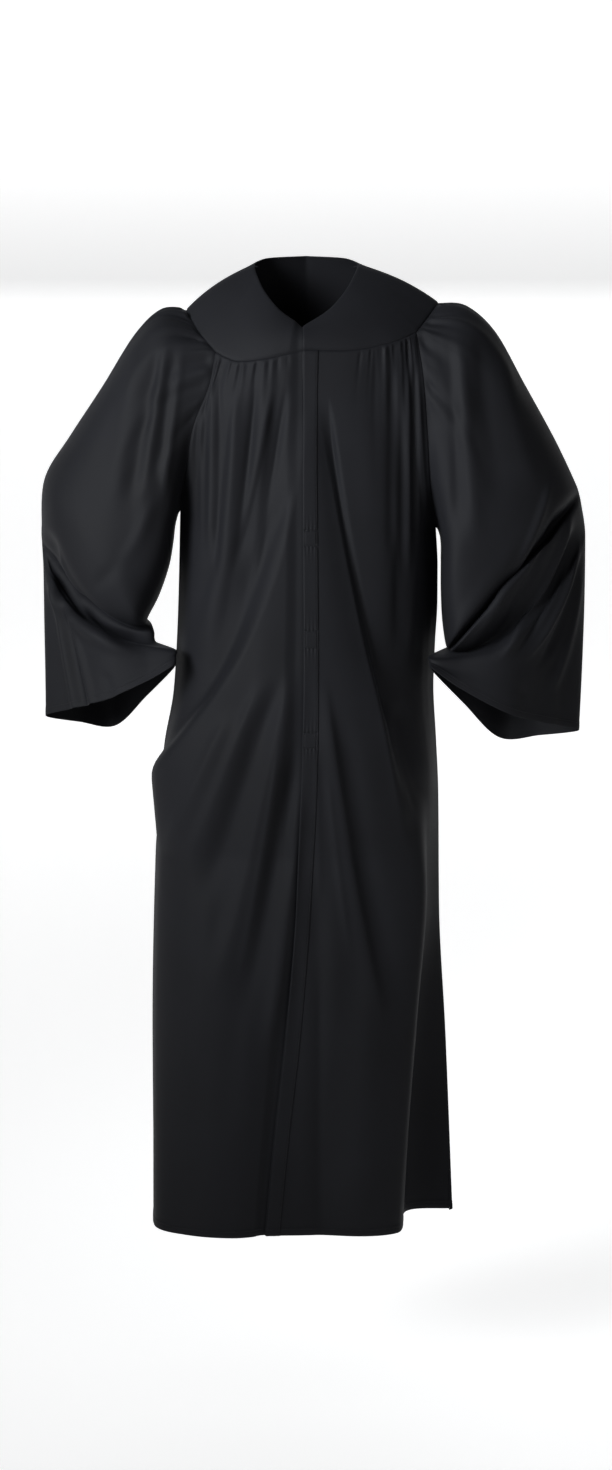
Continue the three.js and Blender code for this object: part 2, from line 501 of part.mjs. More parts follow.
// The outward normal of a base surface, whose faces look out when a crosses b
function normalAt(base, a, b, aStep, bStep, aMax, bMax, closed = false) {
  const low = (v, step) => Math.max(0, v - step);
  const high = (v, step, most) => Math.min(most, v + step);
  const along1 = closed
    ? base(a + aStep, b).sub(base(a - aStep, b))
    : base(high(a, aStep, aMax), b).sub(base(low(a, aStep), b));
  const along2 = base(a, high(b, bStep, bMax)).sub(base(a, low(b, bStep)));
  return along1.cross(along2).normalize();
}

// A closed wall from a grid of outer and inner points. wrap joins the last column to the first,
// and mirrored cuts each quad along its other diagonal.
function wall(outer, inner, { wrap = false, mirrored = false } = {}) {
  const rows = outer.length;
  const columns = outer[0].length;
  const positions = [...outer.flat(), ...inner.flat()].flatMap((p) => [p.x, p.y, p.z]);
  const o = (r, c) => r * columns + (c % columns);
  const i = (r, c) => rows * columns + o(r, c);
  const index = [];
  const quad = (a, b, c, d) =>
    mirrored ? index.push(a, b, d, b, c, d) : index.push(a, b, c, a, c, d);
  const across = wrap ? columns : columns - 1;
  for (let r = 0; r < rows - 1; r++)
    for (let c = 0; c < across; c++) {
      quad(o(r, c), o(r, c + 1), o(r + 1, c + 1), o(r + 1, c));
      quad(i(r, c), i(r + 1, c), i(r + 1, c + 1), i(r, c + 1));
    }
  for (let c = 0; c < across; c++) {
    quad(i(0, c), i(0, c + 1), o(0, c + 1), o(0, c));
    quad(o(rows - 1, c), o(rows - 1, c + 1), i(rows - 1, c + 1), i(rows - 1, c));
  }
  if (!wrap)
    for (let r = 0; r < rows - 1; r++) {
      quad(i(r, 0), o(r, 0), o(r + 1, 0), i(r + 1, 0));
      quad(o(r, across), i(r, across), i(r + 1, across), o(r + 1, across));
    }
  const geometry = new THREE.BufferGeometry();
  geometry.setAttribute("position", new THREE.Float32BufferAttribute(positions, 3));
  geometry.setIndex(index);
  geometry.computeVertexNormals();
  return geometry;
}

// Turns a wall inside out where its columns run the other way round
function flipped(geometry) {
  const index = geometry.getIndex();
  for (let i = 0; i < index.count; i += 3) {
    const b = index.getX(i + 1);
    index.setX(i + 1, index.getX(i + 2));
    index.setX(i + 2, b);
  }
  geometry.computeVertexNormals();
  return geometry;
}

// How far a front's cloth stands off its base, at a point p of the base
function frontHeight(side, u, p) {
  const below = throughKnots(YOKE_SEAM[side], u).z - p.z;
  const folds = foldHeight(FRONT_FOLDS, p.x, p.z) + bellyRise(p.x, p.z);
  const atEdge = smooth((1 - u) * 9);
  return (folds * smooth(below / 50) + gathers(FRONT_GATHERS, u, below)) * atEdge;
}

const LAST_ROW = ARMHOLE_ROWS + BODY_ROWS;
const FRONT_BASE = { left: frontBase("left"), right: frontBase("right") };

function frontNormal(side, u, row) {
  const n = normalAt(FRONT_BASE[side], u, row, 0.02, 0.1, 1, LAST_ROW);
  return side === "left" ? n.negate() : n;
}

function backNormal(u, row) {
  return normalAt(backBase, u, row, 0.02, 0.1, 1, LAST_ROW).negate();
}

// The direction that both panels' walls share along a side seam
function sideNormal(side, row) {
  return frontNormal(side, 1, row).add(backNormal(side === "left" ? 0 : 1, row)).normalize();
}

// How much of the lap's depth the right front still has at a column beside the lap
function lapShare(column) {
  return 1 - smooth((column - 1) / LAP_COLUMNS);
}

// Outer points and wall directions of one front, of which the band and the lap take their own
function frontGrid(side) {
  const sign = SIGN[side];
  const outer = [];
  const normals = [];
  for (let r = 0; r <= LAST_ROW; r++) {
    outer.push([]);
    normals.push([]);
    for (let c = 0; c <= FRONT_COLUMNS; c++) {
      const u = c / FRONT_COLUMNS;
      const p = FRONT_BASE[side](u, r);
      const atSide = c === FRONT_COLUMNS;
      const n = atSide && r >= ARMHOLE_ROWS ? sideNormal(side, r) : frontNormal(side, u, r);
      let high = frontHeight(side, u, p);
      if (side === "right") high -= LAP_DEPTH * lapShare(c);
      if (atSide) p.add(new THREE.Vector3(-sign, -1, 0).multiplyScalar(SEAM_GAP / 2));
      if (r === 0) p.z -= SEAM_GAP / 2;
      outer[r].push(p.addScaledVector(n, high));
      normals[r].push(n);
    }
  }
  return { outer, normals };
}

// The same points moved along their normals
function moved(points, normals, by) {
  return points.map((line, r) => line.map((p, c) => p.clone().addScaledVector(normals[r][c], by)));
}

function frontPanel(side) {
  const { outer, normals } = frontGrid(side);
  if (side === "left") return flipped(wall(outer, moved(outer, normals, -WALL)));
  const over = frontGrid("left");
  const lapped = moved(over.outer, over.normals, -LAP_DEPTH);
  for (let r = 0; r <= LAST_ROW; r++) {
    const lap = (lines) => lines[r].slice(0, LAP_COLUMNS + 1).reverse();
    outer[r].splice(0, 1, ...lap(lapped));
    normals[r].splice(0, 1, ...lap(over.normals));
  }
  return wall(outer, moved(outer, normals, -WALL), { mirrored: true });
}

// The band down the opening edge of the left front, made from the panel's own points
function frontBand() {
  const { outer, normals } = frontGrid("left");
  const strip = (lines) => lines.map((line) => line.slice(0, BAND_COLUMNS + 1));
  const lifted = (by) => moved(strip(outer), strip(normals), by);
  return flipped(wall(lifted(BAND_LIFT + BAND_WALL), lifted(BAND_LIFT)));
}

function backPanel() {
  const outer = [];
  const normals = [];
  for (let r = 0; r <= LAST_ROW; r++) {
    outer.push([]);
    normals.push([]);
    for (let c = 0; c <= BACK_COLUMNS; c++) {
      const u = c / BACK_COLUMNS;
      const p = backBase(u, r);
      const end = c === 0 ? "left" : c === BACK_COLUMNS ? "right" : null;
      const n = end && r >= ARMHOLE_ROWS ? sideNormal(end, r) : backNormal(u, r);
      const below = throughKnots(YOKE_BACK_SEAM, u).z - p.z;
      const folds = foldHeight(BACK_FOLDS, p.x, p.z) * smooth(below / 50);
      const atEdge = smooth(u * 9) * smooth((1 - u) * 9);
      const high = (folds + gathers(BACK_GATHERS, u, below)) * atEdge;
      if (end) p.add(new THREE.Vector3(-SIGN[end], 1, 0).multiplyScalar(SEAM_GAP / 2));
      if (r === 0) p.z -= SEAM_GAP / 2;
      outer[r].push(p.addScaledVector(n, high));
      normals[r].push(n);
    }
  }
  return flipped(wall(outer, moved(outer, normals, -WALL)));
}

const asVector = (p) => new THREE.Vector3(p.x, p.y, p.z);

function yokeEnd(side, t) {
  return asVector(throughKnots(YOKE_END[side].map((r) => ({ u: r.t, x: r.x, y: r.y, z: r.z })), t));
}

// The yoke's whole outline, from the centre front over the wearer's left shoulder, round the
// back and over the right one: for each column its neck point, its seam point and wall direction
function yokeColumns() {
  const E = YOKE_END_COLUMNS;
  const frontShare = FRONT_COLUMNS + E;
  const columns = [];
  const add = (low, turn, sign, normal, level) => {
    const n = along(NECK_EDGE, "t", turn);
    const nearCentre = Math.max(0, 1 - turn);
    const high = new THREE.Vector3(sign * n.x - 4 * nearCentre, n.y, n.z);
    if (level) low.z += SEAM_GAP / 2;
    else low.lerp(high, SEAM_GAP / 2 / low.distanceTo(high));
    columns.push({ high, low, normal });
  };
  const front = (side, c) => {
    const sign = SIGN[side];
    const turn = (c / frontShare) ** 0.9;
    if (c > FRONT_COLUMNS) add(yokeEnd(side, (c - FRONT_COLUMNS) / E), turn, sign, null, false);
    else {
      const u = c / FRONT_COLUMNS;
      const low = asVector(throughKnots(YOKE_SEAM[side], u));
      add(low, turn, sign, frontNormal(side, u, 0), true);
    }
  };
  const backShare = BACK_COLUMNS + 2 * E;
  for (let c = 0; c < frontShare; c++) front("left", c);
  for (let c = 0; c <= backShare; c++) {
    const across = c / backShare;
    const turn = across < 0.5 ? 1 + 2 * across : 3 - 2 * across;
    const sign = across <= 0.5 ? 1 : -1;
    const u = (c - E) / BACK_COLUMNS;
    if (u < 0) add(yokeEnd("left", 1 + c / E), turn, sign, null, false);
    else if (u > 1) add(yokeEnd("right", 1 + (backShare - c) / E), turn, sign, null, false);
    else add(asVector(throughKnots(YOKE_BACK_SEAM, u)), turn, sign, backNormal(u, 0), true);
  }
  for (let c = frontShare - 1; c >= 0; c--) front("right", c);
  return columns;
}

// The whole yoke as one grid, whose last column falls on its first
function yokeGrid() {
  const columns = yokeColumns();
  const around = columns.length - 1;
  const base = (c, s) => {
    const i = ((c % around) + around) % around;
    return columns[i].high.clone().lerp(columns[i].low, s);
  };
  const outer = [];
  const normals = [];
  for (let r = 0; r <= YOKE_ROWS; r++) {
    const s = r / YOKE_ROWS;
    outer.push([]);
    normals.push([]);
    for (let c = 0; c <= around; c++) {
      const own = normalAt(base, c, s, 1, 0.5, around, 1, true).negate();
      const n = s === 1 && columns[c].normal ? columns[c].normal : own;
      outer[r].push(base(c, s).addScaledVector(n, YOKE_CROWN * 4 * s * (1 - s)));
      normals[r].push(n);
    }
  }
  return { outer, normals, around };
}

// One of the yoke's three pieces. Its ends stop short of the shoulder seams.
function yoke(piece) {
  const { outer, normals, around } = yokeGrid();
  const shoulder = FRONT_COLUMNS + YOKE_END_COLUMNS;
  const [from, to] = {
    left: [0, shoulder],
    back: [shoulder, around - shoulder],
    right: [around - shoulder, around],
  }[piece];
  const forward = piece === "back" ? 1 : -1;
  const points = outer.map((line) => line.slice(from, to + 1).map((p) => p.clone()));
  const walls = normals.map((line) => line.slice(from, to + 1));
  for (const line of points) {
    if (piece !== "right") line[piece === "back" ? 0 : to - from].y += (forward * SEAM_GAP) / 2;
    if (piece !== "left") line[piece === "back" ? to - from : 0].y += (forward * SEAM_GAP) / 2;
  }
  if (piece === "right")
    points.forEach((line, r) => {
      const behind = (c, by) => outer[r][c].clone().addScaledVector(normals[r][c], -by);
      for (let k = 0; k <= LAP_COLUMNS; k++) {
        line[line.length - 1 - k] = behind(around - k, LAP_DEPTH * lapShare(k));
      }
      for (let k = 1; k <= LAP_COLUMNS; k++) {
        line.push(behind(k, LAP_DEPTH));
        walls[r].push(normals[r][k]);
      }
    });
  return flipped(wall(points, moved(points, walls, -WALL)));
}

// The armhole's loop: tip of the shoulder, front of the yoke, front edge, underarm, back, tip
function armholeLoop(side) {
  const loop = [];
  for (let c = 0; c < YOKE_END_COLUMNS; c++) loop.push(yokeEnd(side, 1 - c / YOKE_END_COLUMNS));
  for (let r = 0; r < ARMHOLE_ROWS; r++)
    loop.push(edgeAt(ARMHOLE_FRONT[side], SIDE_SEAM[side], r));
  for (let r = ARMHOLE_ROWS; r > 0; r--)
    loop.push(edgeAt(ARMHOLE_BACK[side], SIDE_SEAM[side], r));
  for (let c = 0; c < YOKE_END_COLUMNS; c++) loop.push(yokeEnd(side, 2 - c / YOKE_END_COLUMNS));
  return loop;
}

// Eight points round a sleeve's section, starting at its outer point and going by its front
function ringPoints(s) {
  const outer = [s.ox, s.oy, s.oz];
  const inside = [s.ix, s.iy, s.iz];
  const centre = outer.map((v, k) => (v + inside[k]) / 2);
  const front = [centre[0], centre[1] - s.front, centre[2] - s.frontDrop];
  const back = [centre[0], centre[1] + s.back, centre[2] - s.backDrop];
  const corner = (a, b, full) => centre.map((v, k) => v + full * (a[k] + b[k] - 2 * v));
  return [
    outer,
    corner(outer, front, s.fullOuter),
    front,
    corner(front, inside, s.fullFront),
    inside,
    corner(inside, back, s.fullBack),
    back,
    corner(back, outer, s.fullOuter),
  ];
}

// The base surface of a sleeve: column is a position in the armhole's loop, v runs to the cuff
function sleeveBase(side) {
  const rings = SLEEVE_RINGS[side].map(ringPoints);
  const loop = armholeLoop(side);
  const count = loop.length;
  const place = loop.map((_, k) => 8 * turnOf(k, count));
  const lastRing = rings.length - 1;
  const ringAt = (turn, v) => {
    const line = rings.map((points) => through(points, turn, true));
    return new THREE.Vector3(...through(line, v * lastRing));
  };
  return (column, v) => {
    const c = ((column % count) + count) % count;
    const i = Math.floor(c);
    const f = c - i;
    const next = (i + 1) % count;
    const turn = lerp(place[i], next === 0 ? 8 : place[next], f);
    const start = loop[i].clone().lerp(loop[next], f);
    const ease = (1 - Math.min(1, v * 7)) ** 2;
    return ringAt(turn, v).addScaledVector(start.sub(ringAt(turn, 0)), ease);
  };
}

// Share of a turn round the sleeve at each column: evenly by column over the front and the back
function turnOf(k, count) {
  const headEnd = YOKE_END_COLUMNS;
  const under = headEnd + ARMHOLE_ROWS;
  const mirrored = k > under ? count - k : k;
  const half =
    mirrored <= headEnd
      ? (0.17 * mirrored) / headEnd
      : 0.17 + (0.33 * (mirrored - headEnd)) / ARMHOLE_ROWS;
  return k > under ? 1 - half : half;
}

function sleeve(side) {
  const base = sleeveBase(side);
  const loop = armholeLoop(side);
  const count = loop.length;
  const sign = SIGN[side];
  const outer = [];
  const inner = [];
  for (let r = 0; r <= SLEEVE_STEPS; r++) {
    const v = (r / SLEEVE_STEPS) ** 1.0;
    const lines = [[], []];
    for (let c = 0; c < count; c++) {
      const p = base(c, v);
      const n = normalAt(base, c, v, 0.7, 0.02, 1, 1, true).multiplyScalar(sign);
      const turn = turnOf(c, count);
      const head = smooth((0.3 - Math.min(turn, 1 - turn)) / 0.12);
      const atFront = turn < 0.5 ? smooth(Math.sin(2 * Math.PI * turn) * 1.6) : 0;
      const folds = foldHeight(SLEEVE_FOLDS[side], p.x, p.z) * atFront * smooth(v * 9);
      const ends = (turn + 0.5) % 1;
      const high = folds + gathers(SLEEVE_GATHERS, ends / 0.62, v) * head;
      if (r === 0) p.x += (sign * SEAM_GAP) / 2;
      lines[0].push(p.clone().addScaledVector(n, high));
      lines[1].push(p.clone().addScaledVector(n, high - WALL));
    }
    outer.push(lines[0]);
    inner.push(lines[1]);
  }
  const geometry = wall(outer, inner, { wrap: true });
  return side === "left" ? geometry : flipped(geometry);
}

function cloth(name, geometry, colour) {
  const material = new THREE.MeshStandardMaterial({
    color: colour,
    roughness: 0.55,
    metalness: 0,
  });
  const mesh = new THREE.Mesh(geometry, material);
  mesh.name = name;
  return mesh;
}

const BLACK_CLOTH = 0x17171a;
const gown = new THREE.Group();
gown.add(
  cloth("front_right", frontPanel("right"), BLACK_CLOTH),
  cloth("front_left", frontPanel("left"), BLACK_CLOTH),
  cloth("front_band", frontBand(), BLACK_CLOTH),
  cloth("back", backPanel(), BLACK_CLOTH),
  cloth("yoke_front_right", yoke("right"), BLACK_CLOTH),
  cloth("yoke_front_left", yoke("left"), BLACK_CLOTH),
  cloth("yoke_back", yoke("back"), BLACK_CLOTH),
  cloth("sleeve_right", sleeve("right"), BLACK_CLOTH),
  cloth("sleeve_left", sleeve("left"), BLACK_CLOTH),
);

export default gown;
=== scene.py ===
"""A black barrister's gown, filled out as it is worn with both arms bent.

Sizes in the tables are millimetres: +Z up, -Y to the front, +X to the wearer's left. Every
piece of cloth is a fine grid on the smooth base surface of its solid, moved along the base
normal by its folds, gathers and seams, and made a thin shell.
"""
import math
import bpy
import numpy as np
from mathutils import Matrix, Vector


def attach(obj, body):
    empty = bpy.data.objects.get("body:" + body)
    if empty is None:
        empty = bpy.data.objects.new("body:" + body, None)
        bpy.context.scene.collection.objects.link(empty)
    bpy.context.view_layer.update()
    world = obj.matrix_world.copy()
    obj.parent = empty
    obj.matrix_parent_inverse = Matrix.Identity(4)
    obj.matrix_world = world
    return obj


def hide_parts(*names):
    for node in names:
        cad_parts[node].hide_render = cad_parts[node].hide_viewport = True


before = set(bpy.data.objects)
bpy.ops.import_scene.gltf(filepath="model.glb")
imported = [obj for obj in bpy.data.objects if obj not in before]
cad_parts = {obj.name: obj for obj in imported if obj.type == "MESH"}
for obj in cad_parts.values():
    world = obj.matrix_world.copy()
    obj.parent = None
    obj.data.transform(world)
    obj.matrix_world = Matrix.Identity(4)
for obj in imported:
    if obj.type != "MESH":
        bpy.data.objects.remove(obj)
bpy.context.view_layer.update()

# Rows and columns that the surfaces are counted in: down the panels, along the yoke from the
# centre front round the back to the centre front again, and round an armhole's loop
ARMHOLE_ROWS = 9
BODY_ROWS = 15
LAST_ROW = ARMHOLE_ROWS + BODY_ROWS
YOKE_SEAM_COLUMNS = 32
YOKE_END_COLUMNS = 10
YOKE_FRONT_COLUMNS = YOKE_SEAM_COLUMNS + YOKE_END_COLUMNS
YOKE_BACK_COLUMNS = YOKE_SEAM_COLUMNS + 2 * YOKE_END_COLUMNS
YOKE_COLUMNS = 2 * YOKE_FRONT_COLUMNS + YOKE_BACK_COLUMNS
LAP_COLUMNS = 3
LAP_SHARE = LAP_COLUMNS / YOKE_SEAM_COLUMNS
HALF_LOOP = YOKE_END_COLUMNS + ARMHOLE_ROWS
# Points across and down the finished grids
FRONT_POINTS = 170
BACK_POINTS = 190
PANEL_POINTS = 240
YOKE_POINTS = 48
SLEEVE_POINTS = (240, 148)
# Shares of a turn round a sleeve, from the shoulder: to the end of its head, and where its
# gathers have faded away
HEAD_TURN = 0.17
GATHERED_TURN = 0.33
# Which way each side lies along x
SIGN = {"left": 1, "right": -1}
# Cloth, hems and sewing
HEM_Z = -1357.0
LAP_DEPTH = 3.4
YOKE_CROWN = 7.0
CLOTH = 0.9
SEAM_TURNS = (2.0, 5.5)
HEM = 11.0
SEWING_INSET = 2.2
BAND_LIFT = 1.5
STITCH_PITCH = 3.4
STITCH_LENGTH = 2.4
STITCH_RADIUS = 0.3
STITCH_SIDES = 5
# Distances from a hem that have a row of points each, and the cloth that one row of a panel or
# a whole sleeve takes up there
HEM_STEPS = (0.8, 1.6, 7.4, 8.2, 8.9, 9.6, 10.6, 11.6, 12.6)
HEM_ROW_LENGTH = 82
CUFF_RUN = 860
# Flat width of a sleeve, in metres
SLEEVE_WIDTH = 0.9
# Studio and camera, in metres but for the lens
FLOOR_Z = -1.617
FLOOR_HALF_WIDTH = 9
FLOOR_FLAT_END = 8
SWEEP_RADIUS = 2
WALL_TOP = 9
SENSOR_MM = 36
PHOTO_HEIGHT_PX = 1470
FOCAL_LENGTH_PX = 2837
CAMERA_PLACE = (0, -4.0, -0.18623)
CAMERA_TILT = 83.2


def table(names, *rows):
    """Named columns as arrays, from rows of numbers."""
    columns = np.array(rows, float).T
    return dict(zip(names.split(), columns))


# Seams and edges of the yoke: u runs from the centre front to the armhole, over the yoke's end
# from front to back, and from the left to the right end at the back; t runs round the neck
# from the front (0) past the shoulder (1) to the middle of the back (2), for one half
YOKE_SEAM = {
    "left": table("u x y z", (0, -4, -113, -123), (0.3, 62, -108, -123), (0.6, 112, -96, -114),
                  (0.8, 136, -84, -106), (1, 153, -71, -98)),
    "right": table("u x y z", (0, -4, -113, -123), (0.3, -52, -110, -134), (0.6, -92, -101, -138),
                   (0.8, -110, -92, -133), (1, -125, -82, -125)),
}
YOKE_END = {
    "left": table("u x y z", (0, 153, -71, -98), (0.5, 169, -42, -78), (1, 186, 2, -56),
                  (1.5, 173, 50, -80), (2, 156, 86, -112)),
    "right": table("u x y z", (0, -125, -82, -125), (0.5, -149, -52, -97), (1, -168, 2, -66),
                   (1.5, -160, 50, -88), (2, -147, 86, -118)),
}
YOKE_BACK_SEAM = table("u x y z", (0, 156, 86, -112), (0.25, 84, 113, -138), (0.5, 3, 120, -143),
                       (0.75, -78, 113, -140), (1, -147, 86, -118))
NECK_EDGE = table("t x y z", (0, 0, -90, -90), (0.35, 35, -74, -66), (0.7, 62, -38, -30),
                  (1, 72, 6, -4), (1.4, 56, 48, 8), (2, 0, 68, 12))
# Armholes from the yoke's seam down to the underarm, and side seams from there to the hem
ARMHOLE_FRONT = {
    "left": table("z x y", (-98, 153, -71), (-165, 163, -84), (-228, 168, -84), (-300, 173, -70),
                  (-345, 179, -38), (-368, 184, 2)),
    "right": table("z x y", (-125, -125, -82), (-165, -132, -90), (-228, -156, -86),
                   (-290, -168, -68), (-325, -174, -36), (-345, -178, 2)),
}
ARMHOLE_BACK = {
    "left": table("z x y", (-112, 156, 86), (-165, 160, 104), (-228, 163, 104), (-300, 170, 80),
                  (-345, 178, 42), (-368, 184, 2)),
    "right": table("z x y", (-118, -147, 86), (-165, -152, 104), (-228, -157, 104),
                   (-290, -165, 80), (-325, -173, 42), (-345, -178, 2)),
}
SIDE_SEAM = {
    "left": table("z x y", (-368, 184, 2), (-425, 187, 4), (-470, 187, 4), (-530, 184, 6),
                  (-590, 182, 8), (-665, 186, 12), (-745, 190, 18), (-920, 193, 24),
                  (-1100, 203, 22), (-1357, 214, 12)),
    "right": table("z x y", (-345, -178, 2), (-459, -181, 4), (-530, -184, 6), (-600, -189, 8),
                   (-680, -203, 12), (-750, -208, 14), (-830, -216, 16), (-1100, -222, 14),
                   (-1357, -221, 12)),
}
# Sections of each front: centre edge c, front of the figure f, turn r, and v beside the side seam
FRONT_SECTIONS = {
    "left": table(
        "z cx cy fx fy rx ry vx vy",
        (-98, -4, -113, 62, -108, 112, -96, 136, -84),
        (-200, -4, -120, 58, -117, 112, -104, 142, -96),
        (-330, -5, -124, 60, -119, 120, -102, 154, -78),
        (-460, -5, -126, 62, -120, 124, -98, 162, -56),
        (-590, -6, -128, 64, -121, 126, -92, 160, -52),
        (-720, -8, -129, 66, -124, 140, -96, 172, -50),
        (-880, -13, -130, 56, -128, 160, -92, 172, -30),
        (-1060, -27, -128, 43, -128, 150, -98, 156, -14),
        (-1220, -44, -127, 26, -125, 138, -106, 146, -6),
        (-1357, -57, -126, 13, -123, 128, -112, 146, -2),
    ),
    "right": table(
        "z cx cy fx fy rx ry vx vy",
        (-125, -4, -113, -52, -110, -92, -101, -110, -92),
        (-200, -4, -120, -56, -117, -104, -106, -130, -96),
        (-330, -5, -124, -60, -120, -120, -103, -152, -74),
        (-460, -5, -126, -62, -121, -126, -98, -160, -58),
        (-590, -6, -128, -66, -122, -132, -96, -168, -56),
        (-720, -8, -129, -75, -126, -152, -104, -196, -58),
        (-880, -13, -130, -80, -129, -160, -108, -204, -56),
        (-1060, -27, -127, -88, -133, -166, -110, -210, -56),
        (-1220, -44, -126, -96, -136, -169, -115, -212, -68),
        (-1357, -57, -125, -104, -137, -170, -120, -213, -82),
    ),
}
# Sections of the back: left l, middle b and right r
BACK_SECTIONS = table(
    "z lx ly bx by rx ry",
    (-115, 84, 113, 3, 120, -78, 113),
    (-220, 96, 130, 2, 134, -92, 130),
    (-360, 112, 124, 0, 132, -108, 124),
    (-520, 116, 122, -2, 128, -118, 122),
    (-700, 122, 142, -6, 148, -132, 142),
    (-950, 130, 162, -6, 172, -140, 160),
    (-1357, 140, 176, -4, 192, -146, 174),
)
# The belly of the fronts: where it begins and ends across, how far it stands out, and the
# widths over which it eases in and out
BELLY = table(
    "z from to rise from_soft to_soft",
    (-200, -6, 22, 0, 30, 16),
    (-312, -26, 42, 8, 32, 14),
    (-408, -48, 60, 14, 34, 14),
    (-517, -86, 81, 22, 34, 15),
    (-590, -124, 94, 26, 32, 15),
    (-655, -168, 108, 24, 34, 16),
    (-725, -222, 126, 15, 36, 20),
    (-820, -262, 152, 0, 40, 28),
)
# Folds: a line from (x0, z0) to (x1, z1) with a sideways bow, its half width at each end, its
# height (below zero for a trough) and how lopsided it is
FOLD_COLUMNS = "x0 z0 x1 z1 bow w0 w1 high lean"
FRONT_FOLDS = table(
    FOLD_COLUMNS,
    (-39, -170, -100, -430, 6, 7, 12, -4, 0.3),
    (-27, -175, -104, -520, 5, 7, 12, -3.5, -0.2),
    (-54, -175, -118, -470, 8, 9, 15, 3.5, 0),
    (-72, -170, -128, -560, 10, 9, 13, -3.5, 0.2),
    (-96, -160, -150, -560, 14, 9, 16, 3.5, 0),
    (-112, -190, -160, -520, 14, 8, 13, -3, 0),
    (-16, -290, -150, -640, 4, 12, 20, -4.5, -0.3),
    (28, -180, 100, -610, -8, 9, 22, -9, -0.6),
    (84, -180, 108, -560, 4, 26, 24, 3, 0),
    (122, -130, 124, -560, 4, 7, 10, -3.5, 0.2),
    (132, -130, 132, -520, 5, 6, 10, 3, 0),
    (143, -130, 140, -480, 6, 6, 9, -3, 0),
    (152, -150, 138, -600, 6, 6, 10, 3, 0),
    (-16, -540, -132, -1040, 6, 12, 24, 7.5, 0.2),
    (-50, -560, -176, -860, 4, 12, 20, 6, 0.3),
    (-34, -560, -150, -900, 2, 11, 20, -5.5, 0),
    (-92, -610, -200, -830, 2, 12, 18, 5.5, 0.3),
    (-10, -640, -92, -1060, 2, 9, 18, -5.5, 0),
    (-8, -700, -60, -1130, 4, 8, 17, 6, 0.2),
    (-6, -900, -26, -1400, 0, 10, 20, -3, 0),
    (14, -820, 20, -1400, 0, 14, 26, -5.5, 0),
    (22, -560, 112, -1080, -6, 9, 14, 6, -0.4),
    (42, -600, 128, -1040, -4, 12, 22, -5, 0),
    (106, -600, 152, -790, -5, 9, 11, 5.5, -0.3),
    (126, -600, 170, -760, -4, 10, 14, -5, 0),
    (-120, -900, -136, -1400, 0, 26, 34, 4.5, 0),
    (92, -960, 74, -1400, 0, 26, 34, 7.5, 0),
)
# Narrower creases between the main folds of the fronts
FRONT_CREASES = table(
    FOLD_COLUMNS,
    (-151, -140, -152, -420, 0, 4, 6, -2.5, 0),
    (-138, -140, -143, -430, 0, 3.5, 6, -2, 0),
    (-127, -140, -133, -420, 0, 4, 6, 2, 0),
    (-117, -140, -126, -460, 0, 4, 7, -2.5, 0.2),
    (-94, -150, -112, -450, 0, 6, 10, 2, 0),
    (-66, -150, -98, -440, 0, 4, 8, -2.5, 0.2),
    (-25, -160, -66, -440, 0, 5, 8, -2.5, 0.2),
    (-46, -160, -80, -470, 0, 5, 9, 2, 0),
    (116, -130, 116, -430, 0, 5, 8, -2, 0),
    (125, -125, 125, -440, 0, 4, 6, 2, 0),
    (134, -118, 134, -480, 0, 4, 6, -2.5, 0),
    (142, -118, 142, -460, 0, 3.5, 5, 2, 0),
    (150, -118, 151, -430, 0, 3.5, 5.5, -2.5, 0),
    (-33, -640, -97, -1020, 3, 5, 11, 2.5, 0.3),
    (-12, -780, -45, -1070, 2, 5, 10, 2.5, 0.2),
    (28, -690, 64, -970, -2, 4, 6, 2, 0),
    (14, -660, 20, -900, 0, 4, 6, 1, 0),
    (19, -960, 20, -1390, 0, 6, 8, -1.5, 0),
    (-136, -860, -176, -1180, 6, 12, 22, 2.5, 0),
    (-72, -1010, -112, -1340, 0, 16, 26, 2, 0),
)
BACK_FOLDS = table(
    FOLD_COLUMNS,
    (6, -170, 2, -1420, 6, 12, 30, 12, 0.2),
    (40, -190, 56, -1420, -4, 12, 26, -12, 0),
    (66, -170, 96, -1420, 6, 11, 26, 11, -0.3),
    (100, -190, 138, -1420, 4, 11, 24, -10, 0),
    (124, -220, 170, -1420, 4, 10, 22, 9, 0),
    (-34, -185, -52, -1420, -5, 12, 28, -12, 0),
    (-62, -175, -98, -1420, -4, 11, 25, 12, 0.2),
    (-94, -195, -142, -1420, -3, 11, 24, -10, 0),
    (-120, -220, -178, -1420, -3, 10, 22, 8, 0),
    (20, -330, 150, -620, -10, 12, 18, -6, 0),
    (-20, -340, -150, -640, 10, 12, 18, -6, 0),
)
# Gathers under the yoke: how many, how deep and long, and the shares of the seam they lie in
GATHER_COLUMNS = "seed count depth reach drift first last"
FRONT_GATHERS = {
    "left": table(GATHER_COLUMNS, (11, 17, 1.7, 40, 0.6, 0.36, 1), (12, 7, 1.4, 240, 0.8, 0.48, 1)),
    "right": table(GATHER_COLUMNS, (23, 20, 1.7, 40, 0.6, 0.1, 1), (24, 9, 1.3, 230, 0.8, 0.16, 1)),
}
BACK_GATHERS = table(GATHER_COLUMNS, (41, 46, 2.3, 46, 0.6, 0.02, 0.98),
                     (42, 22, 3.6, 230, 0.8, 0.04, 0.96))
SLEEVE_GATHERS = {
    "left": table(GATHER_COLUMNS, (61, 42, 2.4, 36, 0.5, 0, 1), (62, 24, 3, 95, 0.6, 0, 1)),
    "right": table(GATHER_COLUMNS, (83, 42, 2.4, 36, 0.5, 0, 1), (84, 24, 3, 95, 0.6, 0, 1)),
}
# Stitched squares of the closing on the band: top and lower edge, and places of their sides
CLOSINGS = table("top low", (-367, -388), (-503, -526), (-642, -664))
CLOSING_SIDES = (2.4, 19)
CLOSING_END = 21
